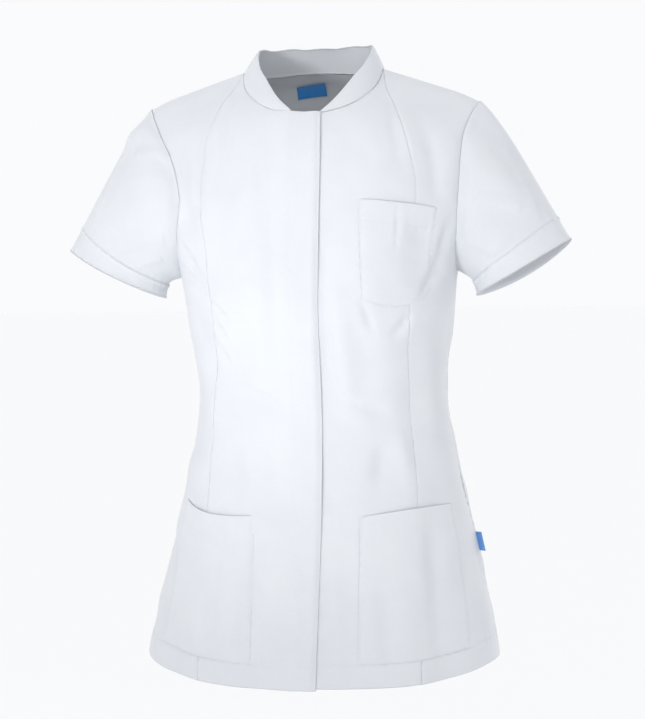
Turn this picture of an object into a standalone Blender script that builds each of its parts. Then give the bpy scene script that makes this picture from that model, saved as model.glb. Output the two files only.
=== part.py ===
"""A short-sleeved medical tunic, filled out as it hangs when worn.

Metres, +Z up. The front faces -Y and the wearer's left is +X. The origin is
at the base of the neck, level with the side ends of the neck seam.

Every panel is cut from one outer form, given by horizontal sections. A point
of the form is named by an angle, 0 at the middle and 90 degrees at the side,
and by its drop below the shoulder line. The cloth lies inside the form.
"""

import math
from collections import namedtuple

import bmesh
import bpy
from mathutils import Vector

# Cloth and seams
CLOTH = 0.0012
DOUBLE_CLOTH = 0.0020
SEAM = 0.0004
SLEEVE_SEAM = 0.0007
ON_PANEL = 0.0008

# Driving sizes of the body
LENGTH = 0.720
SIDE_RISE = 0.022
HEM_ROUNDING = 3
HEM_TILT = 0.0030
UNDERLAP_RISE = 0.0025
UNDERLAP_FADE = 4
UNDERARM = 0.240
SHOULDER_TIP = 0.198
NECK_HALF_WIDTH = 0.084
NECK_FRONT_DROP = 0.0665
NECK_BACK_DROP = 0.0135
SHOULDER_SLOPE = 0.335
TIP_DROOP = 3.4
TIP_DROOP_START = 0.165
SHOULDER_BLEND = 8

# Front closing
LAP_TOP = 0.0185
LAP_HEM = 0.0140
UNDERLAP = 0.016
LAP_LIFT = 0.0044
LAP_RAMP_START = 0.042
LAP_RAMP_END = 0.019

# Sleeves and cuffs: how steeply the sleeve leaves the armhole on the two sides,
# how far its front and back swell, how far its ends hold their directions
SLEEVE_LEAN = {-1: math.radians(38), +1: math.radians(33)}
SLEEVE_BULGE = 0.45
SHOULDER_HOLD = 0.35
UNDERARM_HOLD = 0.90
CUFF_HOLD = 0.80
CUFF_PROUD = 0.0006

# Collar
COLLAR_HEIGHT = 0.032
COLLAR_END = 0.017
COLLAR_TIP_HEIGHT = 0.0015
COLLAR_TAPER = 0.070
COLLAR_BACK_HEIGHT = 0.0355
COLLAR_BACK_REACH = 0.050
COLLAR_LEAN_RIGHT = math.radians(34)
COLLAR_LEAN_LEFT = math.radians(24)

# Mesh fineness
ROWS_ABOVE_UNDERARM = 14
ROWS_BELOW_UNDERARM = 18
FRONT_COLUMNS = 9
BACK_COLUMNS = 7
SIDE_COLUMNS = 7
SLEEVE_ROWS = 8
CUFF_ROWS = 2
COLLAR_ROWS = 3
LABEL_ROWS = 2
LABEL_COLUMNS = 3
STUD_SIDES = 16
COLUMNS_EVEN_BELOW = 0.12

QUARTER = math.pi / 2
TINY = 1e-5

# The two faces of the form: the way each faces, its columns in the sections, how
# it rounds away from the shoulder line at the neck and at the tip, and the depth,
# squareness and spacing of points of its neck seam
Face = namedtuple(
    "Face",
    "toward depth power neck_round tip_round neck_slope tip_slope neck_drop neck_power neck_ease",
)
FRONT = Face(-1, "front", "front_power", 0.015, 0.060, 1.3, 0.6, NECK_FRONT_DROP, 1.95, 1.5)
BACK = Face(+1, "back", "back_power", 0.060, 0.060, 2.5, 1.0, NECK_BACK_DROP, 2.5, 1.6)

# One row for each horizontal section: half its width, its depth in front of and
# behind the side seam, how square the two halves are, 2 for an ellipse, and how
# far it hangs towards the wearer's left
Section = namedtuple("Section", "drop width front back front_power back_power sway")
SECTIONS = (
    Section(0.000, 0.2080, 0.088, 0.080, 2.30, 2.40, -0.004),
    Section(0.050, 0.2050, 0.096, 0.090, 2.30, 2.40, -0.002),
    Section(0.100, 0.1980, 0.105, 0.099, 2.35, 2.45, 0.0),
    Section(0.140, 0.1915, 0.113, 0.104, 2.40, 2.50, 0.0),
    Section(0.180, 0.1815, 0.122, 0.105, 2.45, 2.50, 0.0),
    Section(0.210, 0.1725, 0.128, 0.104, 2.50, 2.50, 0.0),
    Section(0.240, 0.1650, 0.133, 0.102, 2.50, 2.45, 0.0),
    Section(0.270, 0.1610, 0.136, 0.100, 2.50, 2.40, 0.0),
    Section(0.310, 0.1565, 0.132, 0.096, 2.45, 2.35, 0.0),
    Section(0.360, 0.1505, 0.121, 0.090, 2.35, 2.30, 0.0),
    Section(0.400, 0.1510, 0.115, 0.090, 2.30, 2.25, 0.0),
    Section(0.440, 0.1565, 0.115, 0.096, 2.25, 2.20, 0.0),
    Section(0.500, 0.1690, 0.122, 0.109, 2.20, 2.20, 0.0),
    Section(0.560, 0.1840, 0.130, 0.121, 2.15, 2.15, -0.001),
    Section(0.640, 0.2015, 0.139, 0.131, 2.10, 2.10, -0.0035),
    Section(0.720, 0.2170, 0.147, 0.139, 2.10, 2.10, -0.0060),
)

# The seam from the side of the neck to the hem, as its reach from the middle on
# the two sides of the front and on the back
SeamPoint = namedtuple("SeamPoint", "drop right left back")
PRINCESS_LINE = (
    SeamPoint(0.000, 0.084, 0.084, 0.084),
    SeamPoint(0.020, 0.094, 0.090, 0.088),
    SeamPoint(0.040, 0.107, 0.101, 0.092),
    SeamPoint(0.065, 0.118, 0.112, 0.097),
    SeamPoint(0.092, 0.126, 0.121, 0.100),
    SeamPoint(0.125, 0.130, 0.127, 0.103),
    SeamPoint(0.160, 0.129, 0.127, 0.104),
    SeamPoint(0.200, 0.124, 0.124, 0.102),
    SeamPoint(0.240, 0.117, 0.121, 0.097),
    SeamPoint(0.280, 0.110, 0.118, 0.091),
    SeamPoint(0.330, 0.111, 0.116, 0.086),
    SeamPoint(0.430, 0.121, 0.118, 0.084),
    SeamPoint(0.500, 0.125, 0.123, 0.090),
    SeamPoint(0.717, 0.131, 0.132, 0.112),
)

# The armhole's reach from the middle, above the level where it starts to close
ARMHOLE_CLOSING = 0.140
ARMHOLE = (
    SeamPoint(0.000, 0.1980, 0.1980, 0.1980),
    SeamPoint(0.020, 0.1910, 0.1895, 0.1935),
    SeamPoint(0.045, 0.1820, 0.1820, 0.1880),
    SeamPoint(0.075, 0.1715, 0.1780, 0.1830),
    SeamPoint(0.105, 0.1640, 0.1755, 0.1790),
    SeamPoint(0.140, 0.1580, 0.1735, 0.1760),
)

# Folds on the form: a soft line from one point to another, seen from the face
# it lies on, with its half width, and its height, which is below 0 in a trough
Fold = namedtuple("Fold", "name face x1 z1 x2 z2 half_width height")
FOLDS = (
    Fold("right chest hollow", FRONT, -0.150, -0.100, -0.128, -0.205, 0.026, -0.0040),
    Fold("left chest hollow", FRONT, 0.152, -0.100, 0.134, -0.215, 0.026, -0.0045),
    Fold("right bust fullness", FRONT, -0.088, -0.262, -0.070, -0.275, 0.050, 0.0050),
    Fold("left bust fullness", FRONT, 0.088, -0.262, 0.070, -0.275, 0.050, 0.0050),
    Fold("right waist trough", FRONT, -0.128, -0.300, -0.118, -0.352, 0.014, -0.0030),
    Fold("left waist trough", FRONT, 0.124, -0.330, 0.120, -0.420, 0.016, -0.0030),
    Fold("middle ridge", FRONT, -0.020, -0.540, -0.026, -0.690, 0.020, 0.0035),
    Fold("inner trough right", FRONT, -0.056, -0.560, -0.062, -0.717, 0.018, -0.0050),
    Fold("outer trough right", FRONT, -0.160, -0.560, -0.172, -0.717, 0.018, -0.0050),
    Fold("inner trough left", FRONT, 0.046, -0.600, 0.052, -0.717, 0.020, -0.0040),
    Fold("outer trough left", FRONT, 0.146, -0.500, 0.162, -0.717, 0.020, -0.0050),
    Fold("hem ridge left", FRONT, 0.110, -0.600, 0.116, -0.717, 0.026, 0.0030),
    Fold("back waist trough right", BACK, -0.086, -0.320, -0.080, -0.440, 0.016, -0.0035),
    Fold("back waist trough left", BACK, 0.086, -0.320, 0.080, -0.440, 0.016, -0.0035),
    Fold("back middle hollow", BACK, 0.000, -0.300, 0.000, -0.420, 0.040, -0.0040),
    Fold("back skirt trough right", BACK, -0.070, -0.560, -0.084, -0.717, 0.022, -0.0050),
    Fold("back skirt ridge", BACK, -0.012, -0.560, -0.018, -0.717, 0.026, 0.0035),
    Fold("back skirt trough left", BACK, 0.062, -0.580, 0.078, -0.717, 0.022, -0.0050),
    Fold("back shoulder hollow right", BACK, -0.152, -0.110, -0.122, -0.205, 0.028, -0.0062),
    Fold("back shoulder hollow left", BACK, 0.152, -0.110, 0.122, -0.205, 0.024, -0.0040),
)

# The rings at each sleeve's cuff seam and opening: the middle, half the width
# and depth, how far the outer end is tilted up, how far the front is pitched
# up, and how far the front and the back hang below the ring's plane
Ring = namedtuple("Ring", "x y z half_width half_depth tilt pitch front_dip back_dip")
CUFF_SEAM = {
    -1: Ring(0.2370, -0.010, -0.2180, 0.0616, 0.046, math.radians(35.0), 0.05, 0.006, 0.004),
    +1: Ring(0.2350, -0.010, -0.2180, 0.0616, 0.046, math.radians(36.5), 0.05, 0.001, 0.004),
}
CUFF_EDGE = {
    -1: Ring(0.2460, -0.012, -0.2390, 0.0635, 0.048, math.radians(27.5), 0.05, 0.003, 0.002),
    +1: Ring(0.2445, -0.012, -0.2385, 0.0635, 0.048, math.radians(30.0), 0.06, 0.003, 0.006),
}

# Soft folds on a sleeve: where round it, from the top over the front, and how
# far down from the armhole they start and end, as shares of the sleeve
FOLD_FADE = 0.12
SleeveFold = namedtuple("SleeveFold", "side turn1 down1 turn2 down2 half_width height")
SLEEVE_FOLDS = (
    SleeveFold(-1, 48, 0.05, 20, 0.28, 0.085, -0.0050),
    SleeveFold(-1, 70, 0.04, 40, 0.25, 0.085, 0.0035),
    SleeveFold(-1, 95, 0.20, 75, 0.70, 0.100, -0.0035),
    SleeveFold(+1, 75, 0.20, 50, 0.75, 0.090, -0.0055),
    SleeveFold(+1, 40, 0.10, 22, 0.50, 0.090, 0.0030),
    SleeveFold(+1, 110, 0.25, 100, 0.80, 0.100, -0.0040),
    SleeveFold(-1, 250, 0.10, 290, 0.60, 0.100, -0.0050),
    SleeveFold(+1, 245, 0.10, 285, 0.65, 0.100, -0.0050),
)

# Patch pockets: the reach of the inner edge at the top and bottom, the angle of
# the outer edge there, in degrees, and how far the top and bottom edges lie below
# the origin at the inner end, in the middle and at the outer end. The side
# pockets end at the hem's stitches
Pocket = namedtuple("Pocket", "name side inner outer top bottom mouth")
HEM_DEPTH = 0.027
POCKETS = (
    Pocket(
        "chest_pocket", 1, (0.062, 0.066), (51.5, 57.0),
        (0.1545, 0.1600, 0.1665), (0.2700, 0.2795, 0.2620), 0.0022,
    ),
    Pocket("pocket_right", -1, (0.0663, 0.0663), (66.0, 62.5), (0.520, 0.520, 0.506), None, 0.0030),
    Pocket("pocket_left", 1, (0.0585, 0.0615), (68.0, 61.5), (0.522, 0.515, 0.513), None, 0.0030),
)
POCKET_COLUMNS = 9
POCKET_ROWS = 9
MOUTH_REACH = 0.030

# Labels
NECK_LABEL_WIDTH = 0.036
NECK_LABEL_HEIGHT = 0.015
NECK_LABEL_X = -0.017
NECK_LABEL_DROP = 0.031
NECK_LABEL_TILT = 0.05
NECK_LABEL_GAP = 0.0018
SIDE_LABEL_REACH = 0.0085
SIDE_LABEL_HEIGHT = 0.022
SIDE_LABEL_DROP = 0.564
SIDE_LABEL_TURN = 0.15
LABEL_CLOTH = 0.0010

# Press studs behind the lap
STUD_DROPS = (0.085, 0.195, 0.305, 0.415, 0.525)
STUD_RADIUS = 0.0055
STUD_GAP = 0.0006

# Finishes: colour, roughness and metallic value
Finish = namedtuple("Finish", "name colour roughness metallic")
WHITE_TWILL = Finish("white_twill", (0.86, 0.87, 0.90), 0.85, 0.0)
BLUE_LABEL = Finish("blue_label", (0.02, 0.16, 0.45), 0.60, 0.0)
STUD_METAL = Finish("stud_metal", (0.60, 0.60, 0.62), 0.35, 1.0)


# The form

def eased(share):
    """From 0 to 1 with a soft start and end."""
    share = min(max(share, 0.0), 1.0)
    return share * share * (3 - 2 * share)


def between(start, end, share):
    return start + (end - start) * share


def signed_power(value, power):
    return math.copysign(abs(value) ** power, value)


def read(table, drop, column):
    """The column's value at a drop, on a smooth curve through the rows."""
    drop = min(max(drop, table[0].drop), table[-1].drop)
    last = len(table) - 2
    index = next((i for i in range(last) if drop <= table[i + 1].drop), last)
    low, high = table[index], table[index + 1]
    before, after = table[max(index - 1, 0)], table[min(index + 2, last + 1)]
    step = high.drop - low.drop
    start, end = getattr(low, column), getattr(high, column)
    slope1 = (end - getattr(before, column)) / (high.drop - before.drop)
    slope2 = (getattr(after, column) - start) / (after.drop - low.drop)
    t = (drop - low.drop) / step
    return (
        start * (1 + 2 * t) * (1 - t) ** 2
        + slope1 * step * t * (1 - t) ** 2
        + end * t * t * (3 - 2 * t)
        + slope2 * step * t * t * (t - 1)
    )


def shoulder_line(x):
    """The height of the shoulder line, drawn on over the neck."""
    reach = abs(x)
    if reach < NECK_HALF_WIDTH:
        return SHOULDER_SLOPE * NECK_HALF_WIDTH / 2 * (1 - (reach / NECK_HALF_WIDTH) ** 2)
    droop = TIP_DROOP * max(reach - TIP_DROOP_START, 0) ** 2
    return -SHOULDER_SLOPE * (reach - NECK_HALF_WIDTH) - droop


def height_at(x, drop):
    return shoulder_line(x) * (1 - eased(drop / UNDERARM)) - drop


def drop_at(x, z):
    """The drop of the point of the form at this x and height."""
    drop = -z
    for _ in range(12):
        drop = -z + shoulder_line(x) * (1 - eased(drop / UNDERARM))
    return drop


def depth_at(face, x, drop):
    """How far the form stands out at the middle, eased in from the shoulder line."""
    across = eased((abs(x) - NECK_HALF_WIDTH) / (SHOULDER_TIP - NECK_HALF_WIDTH))
    rounding = between(face.neck_round, face.tip_round, across)
    slope = between(face.neck_slope, face.tip_slope, across)
    shoulder = math.sqrt((slope * drop) ** 2 + 2 * rounding * drop)
    full = read(SECTIONS, drop, face.depth)
    if shoulder < TINY:
        return shoulder
    return (shoulder ** -SHOULDER_BLEND + full ** -SHOULDER_BLEND) ** (-1 / SHOULDER_BLEND)


def fold_height(face, x, z):
    total = 0.0
    for fold in FOLDS:
        if fold.face is not face:
            continue
        run_x, run_z = fold.x2 - fold.x1, fold.z2 - fold.z1
        along = ((x - fold.x1) * run_x + (z - fold.z1) * run_z) / (run_x ** 2 + run_z ** 2)
        along = min(max(along, 0.0), 1.0)
        away = math.hypot(x - fold.x1 - along * run_x, z - fold.z1 - along * run_z)
        total += fold.height * math.exp(-((away / fold.half_width) ** 2))
    return total


def plain_form(face, angle, drop):
    power = read(SECTIONS, drop, face.power)
    x = read(SECTIONS, drop, "width") * signed_power(math.sin(angle), 2 / power)
    y = face.toward * depth_at(face, x, drop) * signed_power(math.cos(angle), 2 / power)
    return Vector((x + read(SECTIONS, drop, "sway"), y, height_at(x, drop)))


def outward(surface, u, v, u_step=1e-4, v_step=1e-5):
    """The surface's unit normal, away from the wearer where u turns clockwise from above."""
    low_v = max(v - v_step, 0.0)
    across = surface(u + u_step, v) - surface(u - u_step, v)
    along = surface(u, v + v_step) - surface(u, low_v)
    return across.cross(along).normalized()


def form(face, angle, drop):
    """A point of the form with its folds, and the normal there."""
    def plain(u, v):
        return plain_form(face, u, v)

    def folded(u, v):
        point = plain(u, v)
        normal = outward(plain, u, v) * face.toward
        return point + normal * fold_height(face, point.x, point.z)

    return folded(angle, drop), outward(folded, angle, drop) * face.toward


def angle_of(face, x, drop):
    """The angle of the point of the form at this x and drop."""
    share = x / read(SECTIONS, drop, "width")
    share = min(max(share, -1.0), 1.0)
    return math.asin(signed_power(share, read(SECTIONS, drop, face.power) / 2))


# Seam lines

def seam_column(face, side):
    if face is BACK:
        return "back"
    return "right" if side < 0 else "left"


def princess(face, side, drop):
    return read(PRINCESS_LINE, drop, seam_column(face, side))


def armhole_angle(face, side, drop):
    """The angle of the armhole's edge, closing like a half ellipse at the underarm."""
    if drop >= UNDERARM:
        return QUARTER
    if drop <= ARMHOLE_CLOSING:
        return angle_of(face, read(ARMHOLE, drop, seam_column(face, side)), drop)
    top = armhole_angle(face, side, ARMHOLE_CLOSING)
    top_power = read(SECTIONS, ARMHOLE_CLOSING, face.power)
    top_depth = depth_at(face, 0, ARMHOLE_CLOSING) * math.cos(top) ** (2 / top_power)
    share = (drop - ARMHOLE_CLOSING) / (UNDERARM - ARMHOLE_CLOSING)
    depth = top_depth * math.sqrt(1 - share * share) / depth_at(face, 0, drop)
    return math.acos(depth ** (read(SECTIONS, drop, face.power) / 2))


def neck_drop(face, x):
    """How far the neck seam lies below the shoulder line."""
    share = min(abs(x) / NECK_HALF_WIDTH, 1.0)
    return face.neck_drop * (1 - share ** face.neck_power) ** (1 / face.neck_power)


def neck_steps(face, count):
    """Reaches from the middle to the side of the neck, closer where the seam turns."""
    steps = []
    for i in range(1, count + 1):
        turn = QUARTER * (1 - (1 - i / count) ** face.neck_ease)
        steps.append(NECK_HALF_WIDTH * math.sin(turn) ** (2 / face.neck_power))
    return steps


def front_neck_steps():
    """The reaches of the front neck seam's points, from the collar's end outwards."""
    return [COLLAR_END] + [x for x in neck_steps(FRONT, FRONT_COLUMNS) if x > COLLAR_END]


def hem_drop(face, angle):
    """The hem's drop, less at the sides and on the left front, which laps under."""
    turn = math.sin(angle)
    drop = LENGTH - SIDE_RISE * abs(turn) ** HEM_ROUNDING + HEM_TILT * turn
    if face is FRONT and angle > 0:
        drop -= UNDERLAP_RISE * math.cos(angle) ** UNDERLAP_FADE
    return drop


def lap_lift(side, x):
    """How far the wearer's right front stands out where it laps over the left one."""
    if side > 0:
        return 0.0
    return LAP_LIFT * eased((LAP_RAMP_START + x) / (LAP_RAMP_START - LAP_RAMP_END))


def lap_edge(side, drop):
    """The edge of a centre front, as its reach from the middle on its own side."""
    if side > 0:
        return -UNDERLAP
    return -between(LAP_TOP, LAP_HEM, drop / LENGTH)


# Cloth

def row_drop(row, top, hem):
    """The drop of a row of points on a line that runs from top to hem."""
    if row <= ROWS_ABOVE_UNDERARM:
        share = (1 - math.cos(math.pi * row / ROWS_ABOVE_UNDERARM)) / 2
        return between(top, UNDERARM, share)
    share = (row - ROWS_ABOVE_UNDERARM) / ROWS_BELOW_UNDERARM
    return between(UNDERARM, hem, share)


def panel_rows():
    return range(ROWS_ABOVE_UNDERARM + ROWS_BELOW_UNDERARM + 1)


def make_material(finish):
    material = bpy.data.materials.new(finish.name)
    material.use_nodes = True
    shader = material.node_tree.nodes["Principled BSDF"]
    shader.inputs["Base Color"].default_value = (*finish.colour, 1)
    shader.inputs["Roughness"].default_value = finish.roughness
    shader.inputs["Metallic"].default_value = finish.metallic
    return material


def add_object(name, mesh, finish, collection):
    obj = bpy.data.objects.new(name, mesh)
    material = bpy.data.materials.get(finish.name) or make_material(finish)
    mesh.materials.append(material)
    mesh.shade_smooth()
    mesh.set_sharp_from_angle(angle=math.radians(40))
    collection.objects.link(obj)
    return obj


def add_wall(name, outer, inner, finish, collection, closed=False):
    """A closed wall between two grids of points, open round or closed into a tube."""
    shape = bmesh.new()
    skins = [[[shape.verts.new(p) for p in row] for row in grid] for grid in (outer, inner)]
    rows, columns = len(outer), len(outer[0])
    last = columns if closed else columns - 1
    for skin, (a, b) in zip(skins, ((0, 1), (1, 0))):
        for i in range(rows - 1):
            for j in range(last):
                k = (j + 1) % columns
                ends = [(skin[i][j], skin[i + 1][j]), (skin[i][k], skin[i + 1][k])]
                left, right = ends[a], ends[b]
                shape.faces.new((left[0], left[1], right[1], right[0]))
    edge = [(0, j) for j in range(columns)]
    if closed:
        rims = [edge + [edge[0]], [(rows - 1, j) for _, j in edge] + [(rows - 1, 0)]]
    else:
        edge += [(i, columns - 1) for i in range(1, rows)]
        edge += [(rows - 1, j) for j in range(columns - 2, -1, -1)]
        edge += [(i, 0) for i in range(rows - 2, -1, -1)]
        rims = [edge]
    for rim in rims:
        for (i, j), (m, n) in zip(rim, rim[1:]):
            shape.faces.new((skins[0][i][j], skins[0][m][n], skins[1][m][n], skins[1][i][j]))
    bmesh.ops.recalc_face_normals(shape, faces=shape.faces)
    bmesh.ops.triangulate(shape, faces=shape.faces)
    mesh = bpy.data.meshes.new(name)
    shape.to_mesh(mesh)
    shape.free()
    return add_object(name, mesh, finish, collection)


def cloth_layers(face, places, lift=None, thickness=CLOTH, seam=SEAM / 2):
    """Outer and inner grids of points for a grid of (angle, drop) places on a face."""
    outer, inner = [], []
    for row in places:
        outer.append([])
        inner.append([])
        for place in row:
            point, normal = form(face, place[0], place[1])
            raised = lift(place, point) if lift else 0.0
            point = point + Vector((0, face.toward * seam, 0)) + normal * raised
            outer[-1].append(point)
            inner[-1].append(point - normal * thickness)
    return outer, inner


def centre_line(face, side, drop, share_top, share_low, top, edge):
    """The x of a centre panel's column, spread evenly away from the neck."""
    share = between(share_top, share_low, eased((drop - top) / COLUMNS_EVEN_BELOW))
    seam = princess(face, side, drop) - SEAM / 2
    return side * between(edge, seam, share)


def centre_places(face, side, steps, edge_at):
    """Rows of places from a centre panel's inner edge to its princess line."""
    columns = []
    count = len(steps) - 1
    for i, reach in enumerate(steps):
        top = neck_drop(face, reach)
        edge = edge_at(top)
        share_top = (reach - edge) / (princess(face, side, top) - edge)
        column = []
        low = angle_of(face, princess(face, side, LENGTH) * i / count, LENGTH)
        hem = hem_drop(face, side * max(low, TINY))
        for row in panel_rows():
            drop = row_drop(row, top, hem)
            x = centre_line(face, side, drop, share_top, i / count, top, edge_at(drop))
            column.append((angle_of(face, x, drop), drop))
        columns.append(column)
    return [list(row) for row in zip(*columns)]


def side_places(face, side):
    """Rows of places from the princess line to the armhole and the side seam."""
    rows = []
    for row in panel_rows():
        places = []
        for i in range(SIDE_COLUMNS + 1):
            low = angle_of(face, princess(face, side, LENGTH), LENGTH)
            hem = hem_drop(face, side * between(low, QUARTER, i / SIDE_COLUMNS))
            drop = row_drop(row, 0.0, hem)
            start = angle_of(face, princess(face, side, drop) + SEAM / 2, drop)
            angle = between(start, armhole_angle(face, side, drop), i / SIDE_COLUMNS)
            places.append((side * angle, drop))
        rows.append(places)
    return rows


def add_front(side, name, collection, finish):
    """A centre front, from its edge past the middle to the princess seam."""
    steps = [lap_edge(side, NECK_FRONT_DROP)] + front_neck_steps()
    places = centre_places(FRONT, side, steps, lambda drop: lap_edge(side, drop))

    def lift(_, point):
        return lap_lift(side, point.x)

    outer, inner = cloth_layers(FRONT, places, lift)
    add_wall(name, outer, inner, finish, collection)


def add_back(name, collection, finish):
    """The middle of the back, between its two princess seams."""
    steps = [0.0] + neck_steps(BACK, BACK_COLUMNS)
    right, left = (centre_places(BACK, side, steps, lambda drop: 0.0) for side in (-1, 1))
    places = [a[:0:-1] + b for a, b in zip(right, left)]
    outer, inner = cloth_layers(BACK, places)
    add_wall(name, outer, inner, finish, collection)


def add_side_panel(face, side, name, collection, finish):
    """A side front or side back, from the princess seam to the armhole and side seam."""
    outer, inner = cloth_layers(face, side_places(face, side))
    add_wall(name, outer, inner, finish, collection)


# Sleeves

def mirrored(point, side):
    return Vector((point.x * side, point.y, point.z))


def armhole_point(side, turn):
    """A point of the armhole, by its turn from the shoulder over the front, on the left."""
    face = FRONT if turn <= math.pi else BACK
    drop = UNDERARM * (1 - math.cos(turn)) / 2
    point, _ = form(face, side * armhole_angle(face, side, drop), drop)
    return mirrored(point, side)


def ring_point(ring, turn):
    """A point of a sleeve's ring, on the wearer's left."""
    wide = Vector((math.cos(ring.tilt), 0, math.sin(ring.tilt)))
    deep = Vector((0, -1, ring.pitch))
    axis = Vector((math.sin(ring.tilt), 0, -math.cos(ring.tilt)))
    dip = ring.front_dip if turn % (2 * math.pi) < math.pi else ring.back_dip
    across = wide * (ring.half_width * math.cos(turn)) + deep * (ring.half_depth * math.sin(turn))
    return Vector((ring.x, ring.y, ring.z)) + across + axis * (dip * math.sin(turn) ** 2)


def sleeve_fold_height(side, turn, down):
    degrees = math.degrees(turn) % 360
    total = 0.0
    for fold in SLEEVE_FOLDS:
        if fold.side != side:
            continue
        run_turn, run_down = (fold.turn2 - fold.turn1) / 150, fold.down2 - fold.down1
        at_turn, at_down = (degrees - fold.turn1) / 150, down - fold.down1
        along = (at_turn * run_turn + at_down * run_down) / (run_turn ** 2 + run_down ** 2)
        along = min(max(along, 0.0), 1.0)
        away = math.hypot(at_turn - along * run_turn, at_down - along * run_down)
        total += fold.height * math.exp(-((away / fold.half_width) ** 2))
    return total * eased(down / FOLD_FADE) * eased((1 - down) / FOLD_FADE)


def sleeve_point(side, turn, down):
    """A point of a left sleeve, before it is mirrored to its side."""
    turn = turn % (2 * math.pi)
    start = armhole_point(side, turn) + Vector((SLEEVE_SEAM, 0, 0))
    end = ring_point(CUFF_SEAM[side], turn)
    reach = (end - start).length
    lean = SLEEVE_LEAN[side]
    leaving = Vector((math.cos(lean), -SLEEVE_BULGE * math.sin(turn), -math.sin(lean)))
    hold = between(SHOULDER_HOLD, UNDERARM_HOLD, math.sqrt(math.sin(turn / 2)))
    leaving = leaving.normalized() * reach * hold
    arriving = (ring_point(CUFF_EDGE[side], turn) - end).normalized() * reach * CUFF_HOLD
    t = down
    return (
        start * ((1 + 2 * t) * (1 - t) ** 2)
        + leaving * (t * (1 - t) ** 2)
        + end * (t * t * (3 - 2 * t))
        + arriving * (t * t * (t - 1))
    )


def folded_sleeve_point(side, turn, down):
    def plain(u, v):
        return sleeve_point(side, u, v)

    normal = -outward(plain, turn, down, 1e-3, 1e-3)
    return plain(turn, down) + normal * sleeve_fold_height(side, turn, down)


def sleeve_turns():
    count = 2 * ROWS_ABOVE_UNDERARM
    return [2 * math.pi * i / count for i in range(count)]


def add_tube(name, side, surface, downs, thickness, proud, collection, finish):
    outer, inner = [], []
    for down in downs:
        outer.append([])
        inner.append([])
        for turn in sleeve_turns():
            normal = -outward(surface, turn, down, 1e-3, 1e-3)
            point = surface(turn, down) + normal * proud
            outer[-1].append(mirrored(point, side))
            inner[-1].append(mirrored(point - normal * thickness, side))
    add_wall(name, outer, inner, finish, collection, closed=True)


def add_sleeve(side, name, collection, finish):
    def surface(turn, down):
        return folded_sleeve_point(side, turn, down)

    downs = [i / SLEEVE_ROWS for i in range(SLEEVE_ROWS + 1)]
    add_tube(name, side, surface, downs, CLOTH, 0.0, collection, finish)


def add_cuff(side, name, collection, finish):
    """The turned band, from just past the sleeve's end to the opening."""
    def surface(turn, down):
        top, edge = ring_point(CUFF_SEAM[side], turn), ring_point(CUFF_EDGE[side], turn)
        start = top + (edge - top).normalized() * SEAM
        return start.lerp(edge, down)

    downs = [i / CUFF_ROWS for i in range(CUFF_ROWS + 1)]
    add_tube(name, side, surface, downs, DOUBLE_CLOTH, CUFF_PROUD, collection, finish)


# Collar

def neck_ring():
    """Points of the neck seam from the right front end round the back to the left one."""
    front = front_neck_steps()
    back = neck_steps(BACK, BACK_COLUMNS)[:-1]
    ring = [(FRONT, -1, reach) for reach in front]
    ring += [(BACK, -1, reach) for reach in reversed(back)]
    ring += [(BACK, 1, 0.0)]
    ring += [(BACK, 1, reach) for reach in back]
    ring += [(FRONT, 1, reach) for reach in reversed(front)]
    points = []
    for face, side, reach in ring:
        drop = neck_drop(face, reach)
        point, normal = form(face, angle_of(face, side * reach, drop), drop)
        raised = lap_lift(side, point.x) if face is FRONT else 0.0
        points.append(point + normal * raised)
    return points


def taper(share):
    share = min(max(share, 0.0), 1.0)
    return math.sin(QUARTER * share)


def add_collar(name, collection, finish):
    """A stand collar that leans in towards the neck and tapers at its front ends."""
    ring = neck_ring()
    lengths = [0.0]
    for a, b in zip(ring, ring[1:]):
        lengths.append(lengths[-1] + (b - a).length)
    outer = [[] for _ in range(COLLAR_ROWS + 1)]
    inner = [[] for _ in range(COLLAR_ROWS + 1)]
    for i, base in enumerate(ring):
        inward = Vector((-base.x, -base.y, 0)).normalized()
        across = (base.x / NECK_HALF_WIDTH + 1) / 2
        lean = between(COLLAR_LEAN_RIGHT, COLLAR_LEAN_LEFT, across)
        rise = inward * math.sin(lean) + Vector((0, 0, math.cos(lean)))
        before, after = ring[max(i - 1, 0)], ring[min(i + 1, len(ring) - 1)]
        normal = rise.cross(after - before).normalized()
        if normal.dot(inward) > 0:
            normal = -normal
        end = min(lengths[i], lengths[-1] - lengths[i])
        full = between(COLLAR_HEIGHT, COLLAR_BACK_HEIGHT, eased(base.y / COLLAR_BACK_REACH))
        height = between(COLLAR_TIP_HEIGHT, full, taper(end / COLLAR_TAPER))
        for row in range(COLLAR_ROWS + 1):
            point = base + rise * (SEAM + height * row / COLLAR_ROWS)
            outer[row].append(point)
            inner[row].append(point - normal * DOUBLE_CLOTH)
    add_wall(name, outer, inner, finish, collection)


# Pockets and labels

def bowed(ends, share):
    """A value on the curve through a start, a middle and an end."""
    start, middle, end = ends
    bend = 2 * (start - 2 * middle + end)
    return start + (end - start - bend) * share + bend * share * share


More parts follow.
